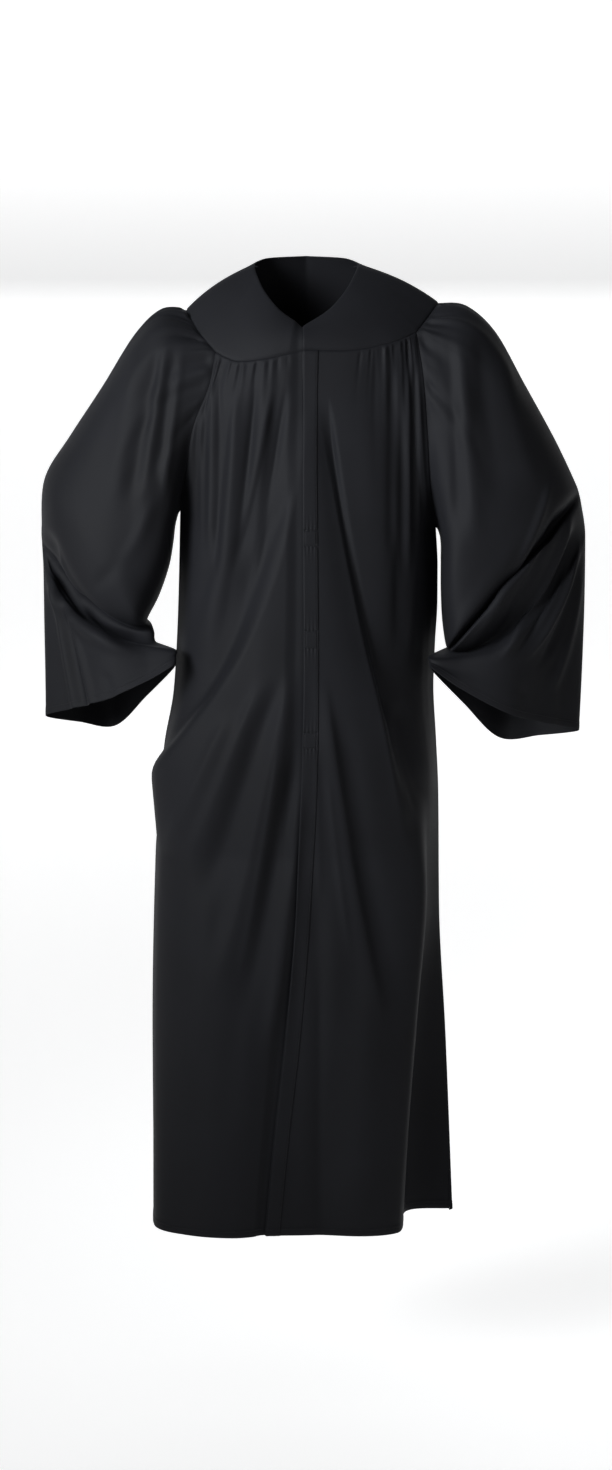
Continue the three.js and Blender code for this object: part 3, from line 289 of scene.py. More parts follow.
# Rings down each sleeve: outer point o, inner point i, how far the front and the back stand out
# from between them and how much lower they lie, and how full the four corners are
RING_COLUMNS = "ox oy oz ix iy iz front front_drop back back_drop full_outer full_front full_back"
SLEEVE_RINGS = {
    "left": table(
        RING_COLUMNS,
        (186, 2, -56, 184, 2, -368, 88, -14, 108, -14, 0.74, 0.74, 0.74),
        (224, 6, -60, 190, 2, -388, 102, 0, 104, 0, 0.76, 0.84, 0.76),
        (266, 18, -96, 190, 2, -418, 108, 0, 108, 0, 0.76, 0.86, 0.74),
        (308, 28, -168, 190, 0, -454, 112, 0, 112, 4, 0.76, 0.86, 0.72),
        (352, 36, -246, 192, -4, -496, 110, 2, 116, 8, 0.75, 0.84, 0.7),
        (381, 44, -305, 197, -14, -532, 98, -8, 118, 12, 0.74, 0.84, 0.68),
        (388, 48, -322, 202, -20, -538, 60, -4, 120, 16, 0.72, 0.8, 0.66),
        (392, 49, -340, 204, -30, -540, 84, -9, 121, 20, 0.7, 0.86, 0.66),
        (397, 49, -368, 206, -40, -540, 52, 34, 122, 24, 0.68, 0.66, 0.66),
        (398, 47, -396, 172, -75, -544, 66, 58, 122, 28, 0.68, 0.57, 0.62),
        (397, 40, -488, 170, -80, -550, 62, 44, 120, 40, 0.6, 0.6, 0.58),
        (393, 26, -584, 171, -86, -554, 54, 24, 118, 52, 0.54, 0.62, 0.54),
        (389, 15, -658, 171, -92, -558, 46, 15, 116, 68, 0.52, 0.62, 0.52),
    ),
    "right": table(
        RING_COLUMNS,
        (-168, 2, -66, -178, 2, -345, 88, -14, 108, -14, 0.74, 0.74, 0.74),
        (-202, 6, -66, -184, 2, -366, 100, 0, 104, 0, 0.76, 0.84, 0.76),
        (-240, 20, -99, -187, 1, -392, 106, 0, 108, 0, 0.76, 0.84, 0.74),
        (-287, 34, -171, -193, -1, -424, 112, 0, 112, 4, 0.76, 0.82, 0.72),
        (-333, 43, -239, -207, -5, -464, 114, 2, 116, 8, 0.75, 0.8, 0.7),
        (-371, 50, -300, -223, -16, -496, 106, 6, 118, 12, 0.74, 0.8, 0.68),
        (-377, 55, -368, -217, -25, -504, 90, 39, 120, 16, 0.72, 0.6, 0.66),
        (-377, 55, -392, -213, -30, -514, 36, 33, 121, 20, 0.68, 0.6, 0.66),
        (-376, 54, -410, -209, -42, -528, 44, 36, 122, 24, 0.66, 0.6, 0.66),
        (-375, 52, -432, -181, -75, -535, 58, 43, 122, 28, 0.64, 0.5, 0.62),
        (-374, 44, -502, -180, -82, -543, 56, 37, 120, 42, 0.58, 0.58, 0.58),
        (-372, 30, -578, -180, -88, -549, 50, 27, 118, 52, 0.54, 0.58, 0.54),
        (-371, 20, -638, -181, -91, -556, 45, 6, 116, 62, 0.52, 0.6, 0.52),
    ),
}
# Folds on the front of each sleeve
SLEEVE_FOLDS = {
    "left": table(
        FOLD_COLUMNS,
        (171, -112, 184, -350, 0, 5, 7, 3, 0),
        (191, -96, 212, -390, 2, 9, 14, -5, 0),
        (208, -92, 236, -410, -2, 9, 16, 4.5, 0),
        (238, -90, 272, -340, -6, 10, 18, -3.5, 0),
        (268, -110, 322, -330, -8, 12, 20, 3.5, 0),
        (178, -98, 189, -160, 0, 3, 4, -2, 0),
        (342, -290, 208, -552, 16, 5, 8, 5, 0.2),
        (358, -330, 246, -556, 8, 6, 9, -4.5, 0),
        (374, -345, 264, -556, 12, 5, 6, 7, 0.2),
        (382, -360, 284, -556, 12, 5, 7, -6, 0),
        (388, -378, 300, -558, 16, 4.5, 6, 6.5, 0.2),
        (391, -400, 322, -570, 12, 5, 8, -5, 0),
        (393, -430, 342, -604, 8, 5, 8, 5, 0.2),
        (350, -560, 340, -690, 0, 10, 16, 3, 0),
        (300, -575, 318, -690, 0, 8, 12, -2, 0),
    ),
    "right": table(
        FOLD_COLUMNS,
        (-168, -110, -202, -350, 3, 4, 7, 3, 0),
        (-179, -108, -212, -350, 0, 6, 12, -4.5, 0),
        (-189, -100, -232, -420, -3, 7, 14, 3.5, 0),
        (-200, -102, -245, -345, 0, 8, 14, -4.5, 0),
        (-226, -112, -268, -360, -4, 10, 18, 3, 0),
        (-196, -250, -278, -440, 18, 9, 14, 4.5, 0),
        (-210, -300, -300, -462, 14, 9, 13, -3.5, 0),
        (-364, -366, -258, -522, -30, 12, 32, -11, 0),
        (-366, -420, -232, -550, -36, 7, 24, 10, 0),
        (-354, -396, -278, -520, -10, 4, 6, 4.5, 0),
        (-360, -416, -312, -668, -3, 5, 9, 6.5, 0),
        (-346, -450, -300, -660, -2, 6, 9, -5, 0),
        (-333, -482, -288, -650, 0, 4, 8, 5.5, 0),
        (-280, -560, -262, -650, 0, 8, 12, -3, 0),
    ),
}


def smooth(t):
    """Eases from 0 to 1: three t squared less two t cubed, held outside that span."""
    c = np.clip(t, 0, 1)
    return c * c * (3 - 2 * c)


def lerp(a, b, t):
    """The value a share t of the way from a to b."""
    return a + (b - a) * t


def bell(distance, width):
    """A bell curve: 1 at no distance, and 1/e at a distance of one width."""
    return np.exp(-((distance / width) ** 2))


def along(rows, key, at):
    """Every column of a table at values of its key column: cubic curves whose slope at a row
    is the harmonic mean of its neighbours' slopes, or none at a turning point."""
    knots = rows[key]
    order = 1 if knots[-1] > knots[0] else -1
    i = np.clip(np.searchsorted(order * knots, order * at, side="right") - 1, 0, len(knots) - 2)
    step = np.diff(knots)
    t = np.clip((at - knots[i]) / step[i], 0, 1)
    result = {}
    for name, values in rows.items():
        rise = np.diff(values) / step
        before, after = rise[:-1], rise[1:]
        total = np.where(before + after == 0, 1, before + after)
        inner = np.where(before * after > 0, 2 * before * after / total, 0)
        slope = np.concatenate([[rise[0]], inner, [rise[-1]]])
        result[name] = (
            (2 * t**3 - 3 * t**2 + 1) * values[i]
            + (t**3 - 2 * t**2 + t) * step[i] * slope[i]
            + (3 * t**2 - 2 * t**3) * values[i + 1]
            + (t**3 - t**2) * step[i] * slope[i + 1]
        )
    return result


def knot_weights(knots, u):
    """For each u, the weight of each knot's value on a curve of cubic spans through the knots,
    whose slope at a knot is that from the knot before it to the knot after it."""
    knots = np.asarray(knots, float)
    count = len(knots)
    slope = np.zeros((count, count))
    for j in range(count):
        a, b = max(0, j - 1), min(count - 1, j + 1)
        slope[j, b] += 1 / (knots[b] - knots[a])
        slope[j, a] -= 1 / (knots[b] - knots[a])
    i = np.clip(np.searchsorted(knots, u, side="right") - 1, 0, count - 2)
    span = knots[i + 1] - knots[i]
    t = np.clip((u - knots[i]) / span, 0, 1)
    one = np.eye(count)
    return (
        (2 * t**3 - 3 * t**2 + 1)[:, None] * one[i]
        + ((t**3 - 2 * t**2 + t) * span)[:, None] * slope[i]
        + (3 * t**2 - 2 * t**3)[:, None] * one[i + 1]
        + ((t**3 - t**2) * span)[:, None] * slope[i + 1]
    )


def seam_points(rows, u):
    """Points of a seam's table at values of u, one point a row."""
    weights = knot_weights(rows["u"], u)
    return weights @ np.stack([rows["x"], rows["y"], rows["z"]], 1)


def fold_height(folds, x, z):
    """Height of a table of folds at places seen from the front: each fold is a bell curve
    across its bowed line, and eases in and out at the line's ends."""
    height = np.zeros(np.shape(x))
    for row in zip(*folds.values()):
        x0, z0, x1, z1, bow, w0, w1, high, lean = row
        t = np.clip((z - z0) / (z1 - z0), 0, 1)
        aside = x - (lerp(x0, x1, t) + bow * 4 * t * (1 - t))
        width = lerp(w0, w1, t) * (1 + np.where(aside < 0, -lean, lean))
        height += high * bell(aside, width) * smooth(t * 5) * smooth((1 - t) * 4)
    return height


def belly_rise(x, z):
    """How far the belly of the front stands out: its rise, eased across both of its edges."""
    b = along(BELLY, "z", z)
    rising = smooth((x - b["from"]) / b["from_soft"] + 0.5)
    falling = smooth((b["to"] - x) / b["to_soft"] + 0.5)
    return b["rise"] * rising * falling


def gathers(across, below, rows):
    """Uneven gathers under a seam, from a table's rows: for each, a narrow bell curve across
    the cloth that widens and fades further down. Their places, depths, lengths and slants vary
    from a fixed seed."""
    height = np.zeros(np.broadcast(across, below).shape)
    for seed, count, depth, reach, drift, first, last in zip(*rows.values()):
        rng = np.random.default_rng(int(seed))
        room = (last - first) / count
        for k in range(int(count)):
            place = first + room * (k + 0.5 + rng.uniform(-0.4, 0.4))
            high = depth * rng.uniform(0.4, 1.3) * (1 if k % 2 else -1)
            length = reach * rng.uniform(0.45, 1.6)
            slant = rng.uniform(-0.5, 0.5) * drift
            width = room * (0.34 + rng.uniform(-0.08, 0.12))
            down = below / length
            wide = width * (1 + 0.5 * np.minimum(down, 2.5))
            ridge = bell(across - place - slant * down * room, wide)
            height += high * ridge * np.exp(-(down**1.3)) * (1 - 0.35 * np.minimum(down, 1))
    return height * smooth(below / 9.0)


def edge_height(armhole, row):
    """Height of a row at a panel's side edge: down the armhole, then down the side seam."""
    top, under = armhole["z"][0], armhole["z"][-1]
    a = np.clip(row / ARMHOLE_ROWS, 0, 1)
    b = np.clip((row - ARMHOLE_ROWS) / BODY_ROWS, 0, 1)
    upper = lerp(top, under, 1 - (1 - a) ** 1.2)
    return np.where(row <= ARMHOLE_ROWS, upper, lerp(under, HEM_Z, b**1.25))


def edge_points(armhole, side_seam, row):
    """Points of a panel's side edge at rows: x, y and z."""
    z = edge_height(armhole, row)
    upper, lower = along(armhole, "z", z), along(side_seam, "z", z)
    high = z > side_seam["z"][0]
    return np.where(high, upper["x"], lower["x"]), np.where(high, upper["y"], lower["y"]), z


def edge_share(armhole, row):
    """How far down the panel a row lies at its side edge, 0 at the yoke and 1 at the hem."""
    top = armhole["z"][0]
    return (edge_height(armhole, row) - top) / (HEM_Z - top)


def section_curves(sections, before, after, weights, z, row):
    """x and y of a panel at heights z: curves through the side edges that come before and after
    its sections, at the given rows, and through the points of the table of sections."""
    ones = np.ones(z.shape)
    inner = along(sections, "z", z)
    both = []
    for axis, letter in enumerate("xy"):
        values = [edge_points(*edge, row)[axis][:, None] * ones for edge in before]
        values += [column for name, column in inner.items() if name.endswith(letter)]
        values += [edge_points(*edge, row)[axis][:, None] * ones for edge in after]
        both.append(sum(w[None, :] * v for w, v in zip(weights.T, values)))
    return both


def panel_base(sections, knots, before, after, top, down, u, row):
    """Smooth base of a panel: each row is a curve through the knots, at heights a share down from
    the yoke's seam to the hem, and the first four rows are drawn onto the seam's points."""
    weights = knot_weights(knots, u)
    z = lerp(top[None, :, 2], HEM_Z, down)
    x, y = section_curves(sections, before, after, weights, z, row)
    first_z = np.broadcast_to(top[None, :, 2], (1, len(u)))
    first_x, first_y = section_curves(sections, before, after, weights, first_z, np.zeros(1))
    fade = ((1 - np.clip(row / 4, 0, 1)) ** 2)[:, None]
    x = x + (top[None, :, 0] - first_x) * fade
    y = y + (top[None, :, 1] - first_y) * fade
    return np.stack([x, y, z], 2)


def front_base(side, u, row):
    """Smooth base of a front: rows of points from the centre edge (u = 0) to the side (1)."""
    armhole = ARMHOLE_FRONT[side]
    centre = (edge_share(ARMHOLE_FRONT["left"], row) + edge_share(ARMHOLE_FRONT["right"], row)) / 2
    down = lerp(centre[:, None], edge_share(armhole, row)[:, None], smooth(u)[None, :])
    edge = (armhole, SIDE_SEAM[side])
    top = seam_points(YOKE_SEAM[side], u)
    return panel_base(FRONT_SECTIONS[side], [0, 0.3, 0.6, 0.8, 1], [], [edge], top, down, u, row)


def back_base(u, row):
    """Smooth base of the back: rows of points from the left side seam (u = 0) to the right."""
    left, right = [(ARMHOLE_BACK[side], SIDE_SEAM[side]) for side in ("left", "right")]
    left_share, right_share = [edge_share(edge[0], row)[:, None] for edge in (left, right)]
    down = lerp(left_share, right_share, u[None, :])
    top = seam_points(YOKE_BACK_SEAM, u)
    return panel_base(BACK_SECTIONS, [0, 0.25, 0.5, 0.75, 1], [left], [right], top, down, u, row)


def normals_of(points, outward, wrap=False):
    """Unit normals of a grid from the cross product of its row and column differences."""
    if wrap:
        across = np.roll(points, -1, 1) - np.roll(points, 1, 1)
    else:
        across = np.gradient(points, axis=1)
    down = np.gradient(points, axis=0)
    n = np.cross(across, down) * outward
    return n / np.maximum(np.linalg.norm(n, axis=2, keepdims=True), 1e-9)


def spread(count, ends):
    """Evenly spaced values from 0 to 1 that draw together at both ends by the given share."""
    t = np.linspace(0, 1, count)
    return lerp(t, 0.5 - 0.5 * np.cos(np.pi * t), ends)


def arc_lengths(points, axis):
    """Distance along a grid's rows or columns from its first one, in millimetres."""
    steps = np.linalg.norm(np.diff(points, axis=axis), axis=2)
    zero = np.zeros_like(np.take(steps, [0], axis=axis))
    return np.concatenate([zero, np.cumsum(steps, axis=axis)], axis=axis)


def placed(name, data):
    """An object that holds some data, in the scene and at the origin."""
    obj = bpy.data.objects.new(name, data)
    bpy.context.scene.collection.objects.link(obj)
    return obj


def grid_quads(rows, columns, wrap=False):
    """The four corners of each face of a grid, whose last column meets its first if it wraps."""
    index = np.arange(rows * columns).reshape(rows, columns)
    if wrap:
        index = np.concatenate([index, index[:, :1]], 1)
    corners = [index[:-1, :-1], index[:-1, 1:], index[1:, 1:], index[1:, :-1]]
    return np.stack(corners, 2).reshape(-1, 4)


def cloth_object(name, node, points, uv, wrap=False, turned=False):
    """A thin shell on a grid of points in millimetres, whose faces look outwards, with a UV map
    in metres of cloth."""
    rows, columns = points.shape[:2]
    quads = grid_quads(rows, columns, wrap)
    if turned:
        quads = quads[:, ::-1]
    mesh = bpy.data.meshes.new(name)
    mesh.vertices.add(rows * columns)
    mesh.vertices.foreach_set("co", (points.reshape(-1, 3) / 1000).astype(np.float32).ravel())
    mesh.loops.add(quads.size)
    mesh.loops.foreach_set("vertex_index", quads.ravel().astype(np.int32))
    mesh.polygons.add(len(quads))
    mesh.polygons.foreach_set("loop_start", np.arange(0, quads.size, 4, dtype=np.int32))
    mesh.polygons.foreach_set("loop_total", np.full(len(quads), 4, np.int32))
    mesh.update(calc_edges=True)
    mesh.polygons.foreach_set("use_smooth", np.ones(len(quads), bool))
    layer = mesh.uv_layers.new(name="Cloth")
    corner_uv = uv.reshape(-1, 2)[quads.ravel() % (rows * columns)]
    layer.data.foreach_set("uv", corner_uv.astype(np.float32).ravel())
    obj = placed(name, mesh)
    shell = obj.modifiers.new("Cloth", "SOLIDIFY")
    shell.thickness = CLOTH / 1000
    shell.offset = -1
    shell.use_even_offset = False
    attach(obj, "root")
    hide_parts(node)
    return obj


def cloth_uv(points):
    """UV in metres of cloth: distance along the rows and down the columns of a grid."""
    return np.stack([arc_lengths(points, 1), arc_lengths(points, 0)], 2) / 1000


def inward(points):
    """Unit vectors from places on the gown towards its upright middle line and a third down."""
    flat = points[..., :2]
    length = np.maximum(np.linalg.norm(flat, axis=-1, keepdims=True), 1)
    v = np.concatenate([-flat / length, np.full((*points.shape[:-1], 1), -0.33)], -1)
    return v / np.linalg.norm(v, axis=-1, keepdims=True)


def pulled_in(points, distance, depth=1.3, width=2.2):
    """Points drawn inward beside a seam by a bell curve of their distance from it."""
    return points + inward(points) * (depth * bell(distance, width))[..., None]


def seam_turned(points, *edges):
    """A grid with the cloth beyond its seams turned in: two more rows on its top edge, or two
    more columns on its first or last one, each further inward from the seam."""
    for edge in edges:
        axis = 0 if edge == "top" else 1
        seam = np.take(points, [-1 if edge == "last" else 0], axis=axis)
        turned = [seam + inward(seam) * depth for depth in SEAM_TURNS]
        grids = [points, *turned] if edge == "last" else [*turned[::-1], points]
        points = np.concatenate(grids, axis)
    return points


def hem_height(distance):
    """Relief of a turned hem by the distance from its edge: thicker cloth up to the sewing, a
    groove along the sewing, and a rounded edge."""
    thick = 0.5 * (1 - smooth((distance - HEM + 0.5) / 2.0))
    groove = 0.4 * bell(distance - HEM + SEWING_INSET, 0.9)
    return thick - groove - 0.4 * bell(distance, 0.7)


def with_extra(values, more):
    """Sorted values with more of them put in, none nearer than a small step."""
    merged = np.unique(np.concatenate([values, more]))
    keep = np.concatenate([[True], np.diff(merged) > 1e-4])
    return merged[keep]


# Stitches
def line_at(points, normal, measure, value):
    """The line across a grid's columns where a measure that falls down the rows has a value."""
    i = np.clip((measure > value).sum(0), 1, len(measure) - 1)
    columns = np.arange(points.shape[1])
    near, far = measure[i, columns], measure[i - 1, columns]
    t = np.clip((value - near) / (far - near), 0, 1)[:, None]
    return lerp(points[i, columns], points[i - 1, columns], t), normal[i, columns]


def stitch_points(path, normal):
    """Points of a row of stitches along a path: each is a spindle of two tips and two rings
    whose points stand off its middle line by the thread's radius."""
    s = np.concatenate([[0], np.cumsum(np.linalg.norm(np.diff(path, axis=0), axis=1))])
    middle = np.arange(STITCH_PITCH, s[-1] - STITCH_PITCH / 2, STITCH_PITCH)

    def at(values, where):
        """Values at distances along the path, between those of its points."""
        return np.stack([np.interp(where, s, column) for column in values.T], 1)

    start, end = at(path, middle - STITCH_LENGTH / 2), at(path, middle + STITCH_LENGTH / 2)
    up = at(normal, middle)
    forward = end - start
    side = np.cross(up, forward)
    side /= np.maximum(np.linalg.norm(side, axis=1, keepdims=True), 1e-9)
    angle = np.arange(STITCH_SIDES) * 2 * np.pi / STITCH_SIDES
    ring = np.cos(angle)[None, :, None] * up[:, None] + np.sin(angle)[None, :, None] * side[:, None]
    lift = up * STITCH_RADIUS * 0.6
    rings = [
        (start + forward * share + lift)[:, None] + ring * STITCH_RADIUS for share in (0.22, 0.78)
    ]
    tips = [(p - up * STITCH_RADIUS * 0.5)[:, None] for p in (start, end)]
    return np.concatenate([tips[0], *rings, tips[1]], 1)


def stitches(name, rows):
    """One mesh of all the stitches along a list of paths with normals: triangles from each
    stitch's first tip to its first ring, on to its second ring and to its second tip."""
    points = np.concatenate([stitch_points(path, normal) for path, normal in rows])
    k = np.arange(STITCH_SIDES)
    first = 1 + k
    first_next = 1 + (k + 1) % STITCH_SIDES
    second, second_next = first + STITCH_SIDES, first_next + STITCH_SIDES
    tip, last_tip = np.zeros_like(k), np.full_like(k, 2 * STITCH_SIDES + 1)
    faces = np.concatenate([
        np.stack([tip, first, first_next], 1),
        np.stack([first, second, second_next], 1),
        np.stack([first, second_next, first_next], 1),
        np.stack([last_tip, second_next, second], 1),
    ])
    step = points.shape[1]
    all_faces = (faces[None] + step * np.arange(len(points))[:, None, None]).reshape(-1, 3)
    mesh = bpy.data.meshes.new(name)
    mesh.from_pydata((points.reshape(-1, 3) / 1000).tolist(), [], all_faces.tolist())
    mesh.polygons.foreach_set("use_smooth", np.ones(len(all_faces), bool))
    obj = placed(name, mesh)
    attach(obj, "root")
    return obj


def hem_stitches(name, points, normal, from_hem, more=()):
    """The row of stitches that holds a hem, and more paths with it."""
    return stitches(name, [line_at(points, normal, from_hem, HEM - SEWING_INSET), *more])


# Fronts
def lap_share(u):
    """How much of the lap's depth the right front still has beside the lap: all of it over one
    column of the yoke, then eased away over the lap's own width."""
    return 1 - smooth((u * YOKE_SEAM_COLUMNS - 1) / LAP_COLUMNS)


def front_height(side, u, points):
    """How far a front's cloth stands off its base: folds, belly, creases and gathers."""
    x, z = points[..., 0], points[..., 2]
    below = seam_points(YOKE_SEAM[side], u)[None, :, 2] - z
    folds = fold_height(FRONT_FOLDS, x, z) + belly_rise(x, z)
    creases = fold_height(FRONT_CREASES, x, z)
    across = np.broadcast_to(u[None, :], z.shape)
    gathered = gathers(across, below, FRONT_GATHERS[side])
    at_edge = smooth((1 - u) * 9)[None, :]
    return ((folds + creases) * smooth(below / 50) + gathered) * at_edge


def front_grid(side, u, row):
    """Outer points, base normals and distance from the hem of a front: its base, moved along its
    normals by the cloth's height and drawn in beside the yoke's and the side seam."""
    base = front_base(side, u, row)
    normal = normals_of(base, -1 if side == "left" else 1)
    below = arc_lengths(base, 0)
    from_side = arc_lengths(base, 1)[:, -1:] - arc_lengths(base, 1)
    from_hem = below[-1:] - below
    high = front_height(side, u, base) + hem_height(from_hem)
    if side == "right":
        high = high - LAP_DEPTH * lap_share(u)[None, :]
    points = base + normal * high[..., None]
    points = pulled_in(points, below)
    return (pulled_in(points, from_side) if u[-1] == 1 else points), normal, from_hem


FRONT_U = spread(FRONT_POINTS, 0.35)
PANEL_ROWS = with_extra(
    lerp(0, LAST_ROW, spread(PANEL_POINTS, 0.3)),
    LAST_ROW - np.array(HEM_STEPS) / HEM_ROW_LENGTH,
)


def front_left():
    """The left front and its hem's stitches."""
    points, normal, from_hem = front_grid("left", FRONT_U, PANEL_ROWS)
    cloth = seam_turned(points, "top", "last")
    piece = cloth_object("Front_left", "front_left", cloth, cloth_uv(cloth), turned=True)
    return piece, hem_stitches("Stitches_front_left", points, normal, from_hem)


def front_right():
    """The right front, with the lap that lies a lap's depth under the left one, and its hem's
    stitches."""
    over, over_normal, _ = front_grid("left", np.linspace(0, LAP_SHARE, 14), PANEL_ROWS)
    lap = (over - over_normal * LAP_DEPTH)[:, ::-1]
    points, normal, from_hem = front_grid("right", FRONT_U[1:], PANEL_ROWS)
    cloth = seam_turned(np.concatenate([lap, points], 1), "top", "last")
    piece = cloth_object("Front_right", "front_right", cloth, cloth_uv(cloth))
    return piece, hem_stitches("Stitches_front_right", points, normal, from_hem)


def closing_height(across, z):
    """Relief of the stitched squares on the band: a groove along each side of a square, and
    small puckers that fade away above and below it."""
    high = np.zeros(z.shape)
    inside = smooth((CLOSING_END - across) / 2)
    columns = sum(bell(across - place, 1.1) for place in CLOSING_SIDES)
    for top, low in zip(CLOSINGS["top"], CLOSINGS["low"]):
        rows = bell(z - top, 1.3) + bell(z - low, 1.3)
        beside = smooth((top + 1 - z) / 2) * smooth((z - low + 1) / 2)
        away = np.where(z > top, z - top, np.where(z < low, low - z, 0))
        pucker = np.sin(across * 2 * np.pi / 5.2) * np.exp(-away / 7) * (away > 0)
        high += (-0.9 * rows - 0.5 * columns * beside + 0.5 * pucker) * inside
    return high


def front_band():
    """The band: the left front's own points, moved out, with its edges turned down, a row of
    stitches along its inner edge and three stitched squares."""
    edge = front_base("left", np.array([0.0, 0.01]), PANEL_ROWS)[:, 0, 2]
    heights = np.concatenate([CLOSINGS[key][:, None] + np.arange(-7, 8) for key in ("top", "low")])
    rows = with_extra(PANEL_ROWS, np.interp(-heights.ravel(), -edge, PANEL_ROWS))
    points, normal, from_hem = front_grid("left", np.linspace(0, LAP_SHARE, 30), rows)
    across = arc_lengths(points, 1)
    z = points[..., 2].copy()
    to_edge = np.minimum(across, across[:, -1:] - across)
    sewn_at = across[:, -1:] - SEWING_INSET
    lift = BAND_LIFT - 0.9 * bell(to_edge, 0.9) - 0.35 * bell(across - sewn_at, 0.8)
    lift = lift + closing_height(across, z)
    points = points + normal * lift[..., None]
    inner = int(np.abs(across[0] - sewn_at[0]).argmin())
    outer = int(np.abs(across[0] - CLOSING_SIDES[0]).argmin())
    sewn = [(points[:, inner], normal[:, inner])]
    for top, low in zip(CLOSINGS["top"], CLOSINGS["low"]):
        for height in (top, low):
            path, up = line_at(points, normal, z, height)
            sewn.append((path[outer:inner], up[outer:inner]))
        beside = (z[:, 0] < top) & (z[:, 0] > low)
        for column in (outer, inner - 3):
            sewn.append((points[beside, column], normal[beside, column]))
    piece = cloth_object("Front_band", "front_band", points, cloth_uv(points), turned=True)
    return piece, hem_stitches("Stitches_front_band", points, normal, from_hem, sewn)


# Back
def back_panel():
    """The back and its hem's stitches: its base, moved along its normals by folds that ease in
    below the yoke, gathers and the hem, and drawn in beside its three seams."""
    u = spread(BACK_POINTS, 0.3)
    base = back_base(u, PANEL_ROWS)
    normal = normals_of(base, -1)
    x, z = base[..., 0], base[..., 2]
    below = arc_lengths(base, 0)
    across = arc_lengths(base, 1)
    to_side = np.minimum(across, across[:, -1:] - across)
    from_hem = below[-1:] - below
    gathered = gathers(np.broadcast_to(u[None, :], z.shape), below, BACK_GATHERS)
    folds = fold_height(BACK_FOLDS, x, z) * smooth(below / 50)
    at_edge = (smooth(u * 9) * smooth((1 - u) * 9))[None, :]
    high = (folds + gathered) * at_edge + hem_height(from_hem)
    points = pulled_in(pulled_in(base + normal * high[..., None], below), to_side)
    cloth = seam_turned(points, "top", "first", "last")
    piece = cloth_object("Back", "back", cloth, cloth_uv(cloth), turned=True)
    return piece, hem_stitches("Stitches_back", points, normal, from_hem)


# Yoke
def yoke_outline(c):
    """Neck point and seam point of the yoke at column values c, from the centre front over the
    wearer's left shoulder, round the back and over the right shoulder to the front again."""
    seam, ends, half = YOKE_SEAM_COLUMNS, YOKE_END_COLUMNS, YOKE_FRONT_COLUMNS
    low = np.zeros((len(c), 3))
    turn = np.zeros(len(c))
    side = np.where(c <= half + YOKE_BACK_COLUMNS / 2, 1, -1)
    mirrored = np.where(side > 0, c, YOKE_COLUMNS - c)
    for name, sign in SIGN.items():
        here = side == sign
        m = mirrored[here]
        points = seam_points(YOKE_SEAM[name], np.clip(m / seam, 0, 1))
        end = seam_points(YOKE_END[name], np.clip((m - seam) / ends, 0, 2))
        across = (m - seam - 2 * ends) / seam
        rear = seam_points(YOKE_BACK_SEAM, np.clip(across if sign > 0 else 1 - across, 0, 1))
        points = np.where((m > seam)[:, None], end, points)
        points = np.where((m > seam + 2 * ends)[:, None], rear, points)
        low[here] = points
        forward = (np.clip(m, 0, half) / half) ** 0.9
        turn[here] = np.where(m <= half, forward, 1 + 2 * (m - half) / YOKE_BACK_COLUMNS)
    n = along(NECK_EDGE, "t", turn)
    high = np.stack([side * n["x"] - 4 * np.maximum(0, 1 - turn), n["y"], n["z"]], 1)
    return high, low


def yoke_grid(c, s):
    """Outer points and normals of the yoke between columns c[0] and c[-1]: straight lines from
    the neck to the seam, bowed out, with turned edges."""
    pad = np.concatenate([[c[0] - 1e-3], c, [c[-1] + 1e-3]])
    high, low = yoke_outline(np.mod(pad, YOKE_COLUMNS))
    base = high[None] + (low - high)[None] * s[:, None, None]
    normal = normals_of(base, -1)
    base, normal = base[:, 1:-1], normal[:, 1:-1]
    crown = YOKE_CROWN * 4 * s * (1 - s)
    reach = np.linalg.norm((low - high)[1:-1], axis=1)
    to_seam = (1 - s)[:, None] * reach[None, :]
    to_neck = s[:, None] * reach[None, :]
    lift = crown[:, None] - 0.8 * bell(to_neck, 1.6)
    return pulled_in(base + normal * lift[..., None], to_seam), normal


def yoke_piece(name, node, first, last, columns):
    """One of the yoke's pieces, between two column values, with its shoulder seams drawn in and
    turned in. The right front one goes on under the left one by the lap."""
    c = lerp(first, last, spread(columns, 0.25))
    s = spread(YOKE_POINTS, 0.35)
    points, normal = yoke_grid(c, s)
    across = arc_lengths(points, 1)
    sewn = []
    if first > 0:
        points = pulled_in(points, across, 0.9, 1.8)
        sewn.append("first")
    if last < YOKE_COLUMNS:
        points = pulled_in(points, across[:, -1:] - across, 0.9, 1.8)
        sewn.append("last")
    else:
        behind = LAP_DEPTH * lap_share((last - c) / YOKE_SEAM_COLUMNS)
        points = points - normal * behind[None, :, None]
        over, over_normal = yoke_grid(np.linspace(0, LAP_COLUMNS, 12), s)
        points = np.concatenate([points[:, :-1], over - over_normal * LAP_DEPTH], 1)
    points = seam_turned(seam_turned(points[::-1], "top")[::-1], *sewn)
    return cloth_object(name, node, points, cloth_uv(points), turned=True), None


# Sleeves
def ring_points(rings):
    """Eight points round each of a sleeve's sections, from its outer point by its front."""
    outer = np.stack([rings["ox"], rings["oy"], rings["oz"]], 1)
    inside = np.stack([rings["ix"], rings["iy"], rings["iz"]], 1)
    centre = (outer + inside) / 2
    zero = np.zeros(len(outer))
    front = centre - np.stack([zero, rings["front"], rings["front_drop"]], 1)
    back = centre + np.stack([zero, rings["back"], -rings["back_drop"]], 1)

    def corner(a, b, full):
        """A point between two neighbours, further from the centre the fuller the corner is."""
        return centre + rings[full][:, None] * (a + b - 2 * centre)

    return np.stack([
        outer,
        corner(outer, front, "full_outer"),
        front,
        corner(front, inside, "full_front"),
        inside,
        corner(inside, back, "full_back"),
        back,
        corner(back, outer, "full_outer"),
    ])


